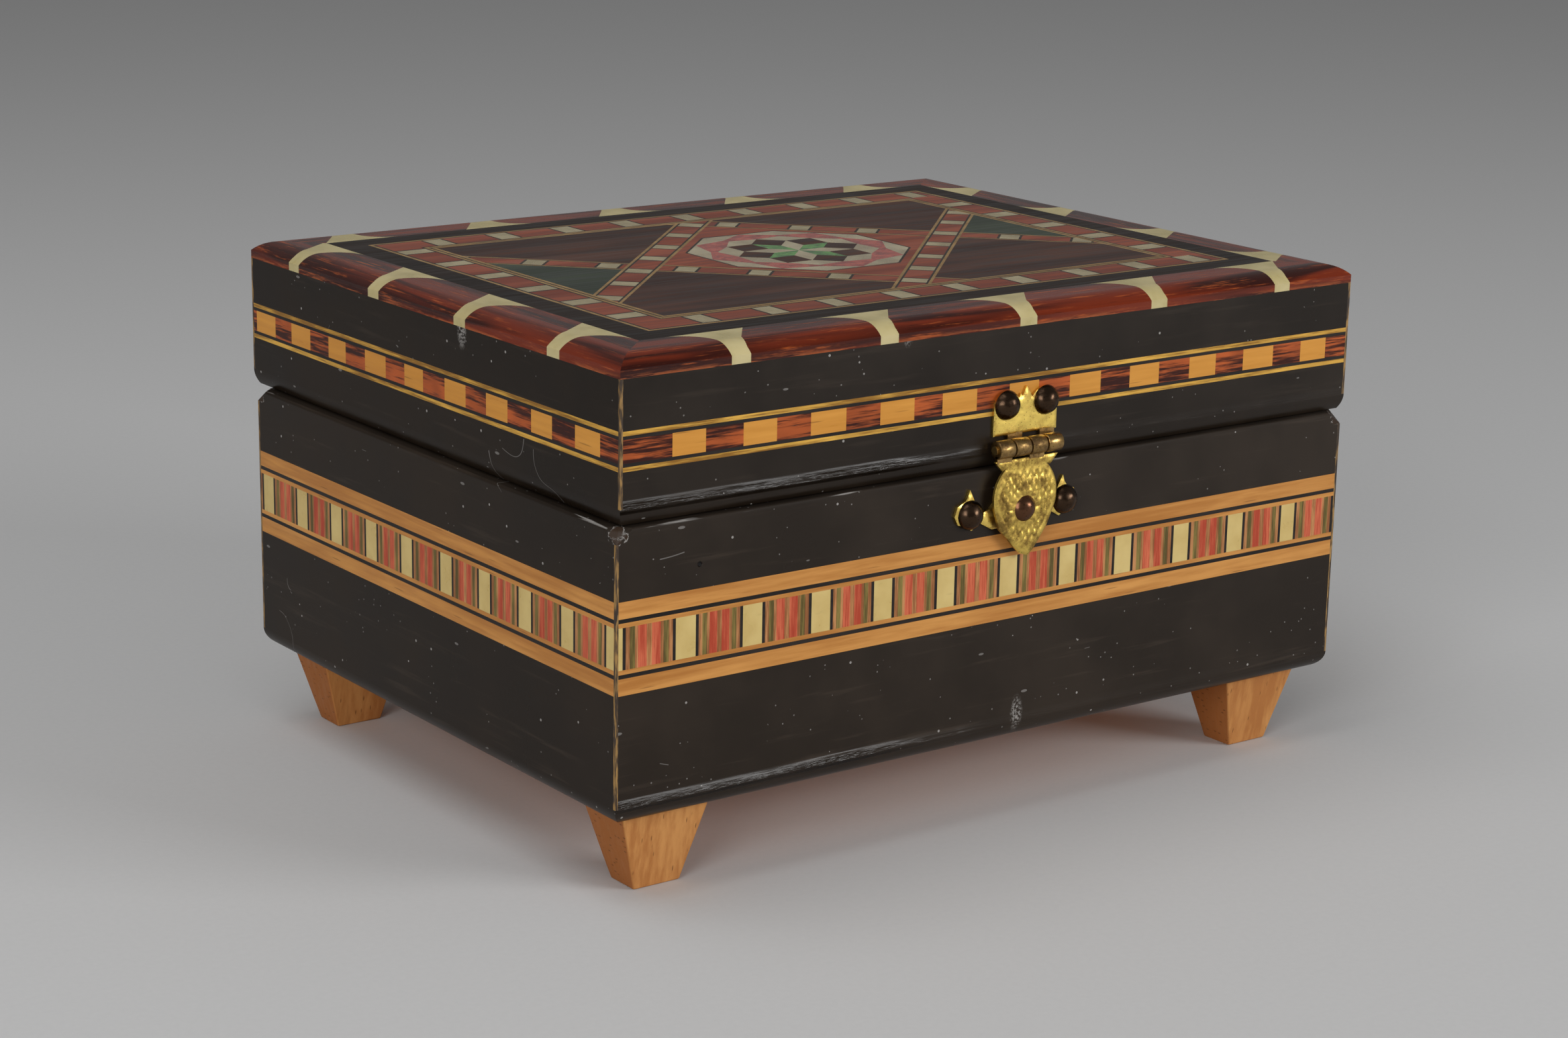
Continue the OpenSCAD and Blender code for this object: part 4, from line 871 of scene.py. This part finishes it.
def make_wall_cloth(name, body, center, half_x, half_y, low, high, material, node):
    """One velvet strip glued round the inner faces, its top edge turned in. Lengths in mm."""
    rows = 15
    outer = rounded(half_x - 0.06, half_y - 0.06, 0.8, 26, 4)
    inner = rounded(half_x - 0.9, half_y - 0.9, 1.6, 26, 4)
    bm = bmesh.new()
    loops = []
    for j in range(rows + 1):
        t = j / rows
        z = low + (high - low) * t
        roll = max(0.0, 1 - (high - z) / 1.6)
        loop = []
        for n, ((ox, oy), (ix, iy)) in enumerate(zip(outer, inner)):
            slack = 0.16 * noise.noise(Vector((ix * 0.05, iy * 0.05, z * 0.08)))
            slack += 0.07 * noise.noise(Vector((ix * 0.22, iy * 0.22, z * 0.12)))
            reach = 1.0 + (slack + 0.30 * math.sin(math.pi * min(1.0, roll)) ** 2)
            loop.append((ox + (ix - ox) * reach, oy + (iy - oy) * reach, z))
        loops.append(loop)
    top = [((ox + ix) / 2, (oy + iy) / 2, high + 0.25) for (ox, oy), (ix, iy) in zip(outer, inner)]
    loops.append(top)
    for z in (high - 0.1, (low + high) / 2, low):
        loops.append([(ox, oy, z) for ox, oy in outer])
    verts = [[bm.verts.new(mm(center[0] + x, center[1] + y, z)) for x, y, z in loop]
             for loop in loops]
    count = len(outer)
    for a, b in zip(verts, verts[1:] + verts[:1]):
        for n in range(count):
            m = (n + 1) % count
            bm.faces.new((a[n], a[m], b[m], b[n]))
    made = piece(name, bm, body, "lining_velvet", material, node, smooth=70.0)
    return made


def make_pad(name, body, center, half_x, half_y, base, height, material, node):
    """A card pad under velvet: crowned, its sides drawn in. Lengths in mm.

    height is negative under the lid.
    """
    columns, lines = 68, 52
    bm = bmesh.new()
    grid = []
    for j in range(lines + 1):
        v = 2 * j / lines - 1
        line = []
        for i in range(columns + 1):
            u = 2 * i / columns - 1
            crown = (1 - abs(u) ** 10) * (1 - abs(v) ** 8)
            pull = 0.35 * math.sin(9.0 * math.pi * u) ** 2 * abs(v) ** 6
            pull += 0.35 * math.sin(7.0 * math.pi * v) ** 2 * abs(u) ** 6
            x = (half_x - 0.15) * u
            y = (half_y - 0.15) * v
            soft = 0.10 * noise.noise(Vector((x * 0.07, y * 0.07, 2.0)))
            soft += 0.04 * noise.noise(Vector((x * 0.3, y * 0.3, 4.0)))
            share = min(1.0, 0.62 + 0.34 * crown - 0.12 * pull + soft)
            line.append(bm.verts.new(mm(center[0] + x, center[1] + y, base + height * share)))
        grid.append(line)
    flat = [[bm.verts.new(Vector((v.co.x, v.co.y, base * MM))) for v in line] for line in grid]
    for a, b in ((grid, 1), (flat, -1)):
        for j in range(lines):
            for i in range(columns):
                bm.faces.new([a[j][i], a[j][i + 1], a[j + 1][i + 1], a[j + 1][i]][::b])
    rim = [(0, i) for i in range(columns)] + [(j, columns) for j in range(lines)]
    rim += [(lines, columns - i) for i in range(columns)] + [(lines - j, 0) for j in range(lines)]
    for (j, i), (l, k) in zip(rim, rim[1:] + rim[:1]):
        bm.faces.new((grid[j][i], flat[j][i], flat[l][k], grid[l][k]))
    made = piece(name, bm, body, "lining_velvet", material, node, smooth=70.0)


def make_lining():
    cloth = velvet("velvet")
    (cx, cy, _), low, high = middle("base_lining_pad")
    half_x, half_y = (high[0] - low[0]) / 2, (high[1] - low[1]) / 2
    make_pad("base_velvet_pad", "base", (cx, cy), half_x, half_y, low[2], high[2] - low[2], cloth,
             "base_lining_pad")
    walls_low, walls_high = middle("base_lining_walls")[1:]
    make_wall_cloth("base_velvet_walls", "base", (cx, cy), half_x, half_y, walls_low[2],
                    walls_high[2] - 0.3, cloth, "base_lining_walls")
    (cx, cy, _), low, high = middle("lid_lining")
    half_x, half_y = (high[0] - low[0]) / 2, (high[1] - low[1]) / 2
    lid_pad = 2.4
    make_pad("lid_velvet_pad", "lid", (cx, cy), half_x, half_y, high[2], -lid_pad, cloth,
             "lid_lining")
    make_lid_cloth(cloth, (cx, cy), half_x, half_y, low[2], high[2] - lid_pad)


def make_lid_cloth(cloth, center, half_x, half_y, low, high):
    """The strip in the lid, made upside down and mirrored, as its free edge is the lower one."""
    made = make_wall_cloth("lid_velvet_walls", "lid", center, half_x, half_y, -high, -low - 0.3,
                           cloth, "lid_lining")
    flip = Matrix.Diagonal((1, 1, -1, 1))
    made.data.transform(flip)
    made.data.flip_normals()


make_camera()
make_light()
make_floor()
dress_wood()
dress_other()
make_hasp()
make_feet()
make_lining()
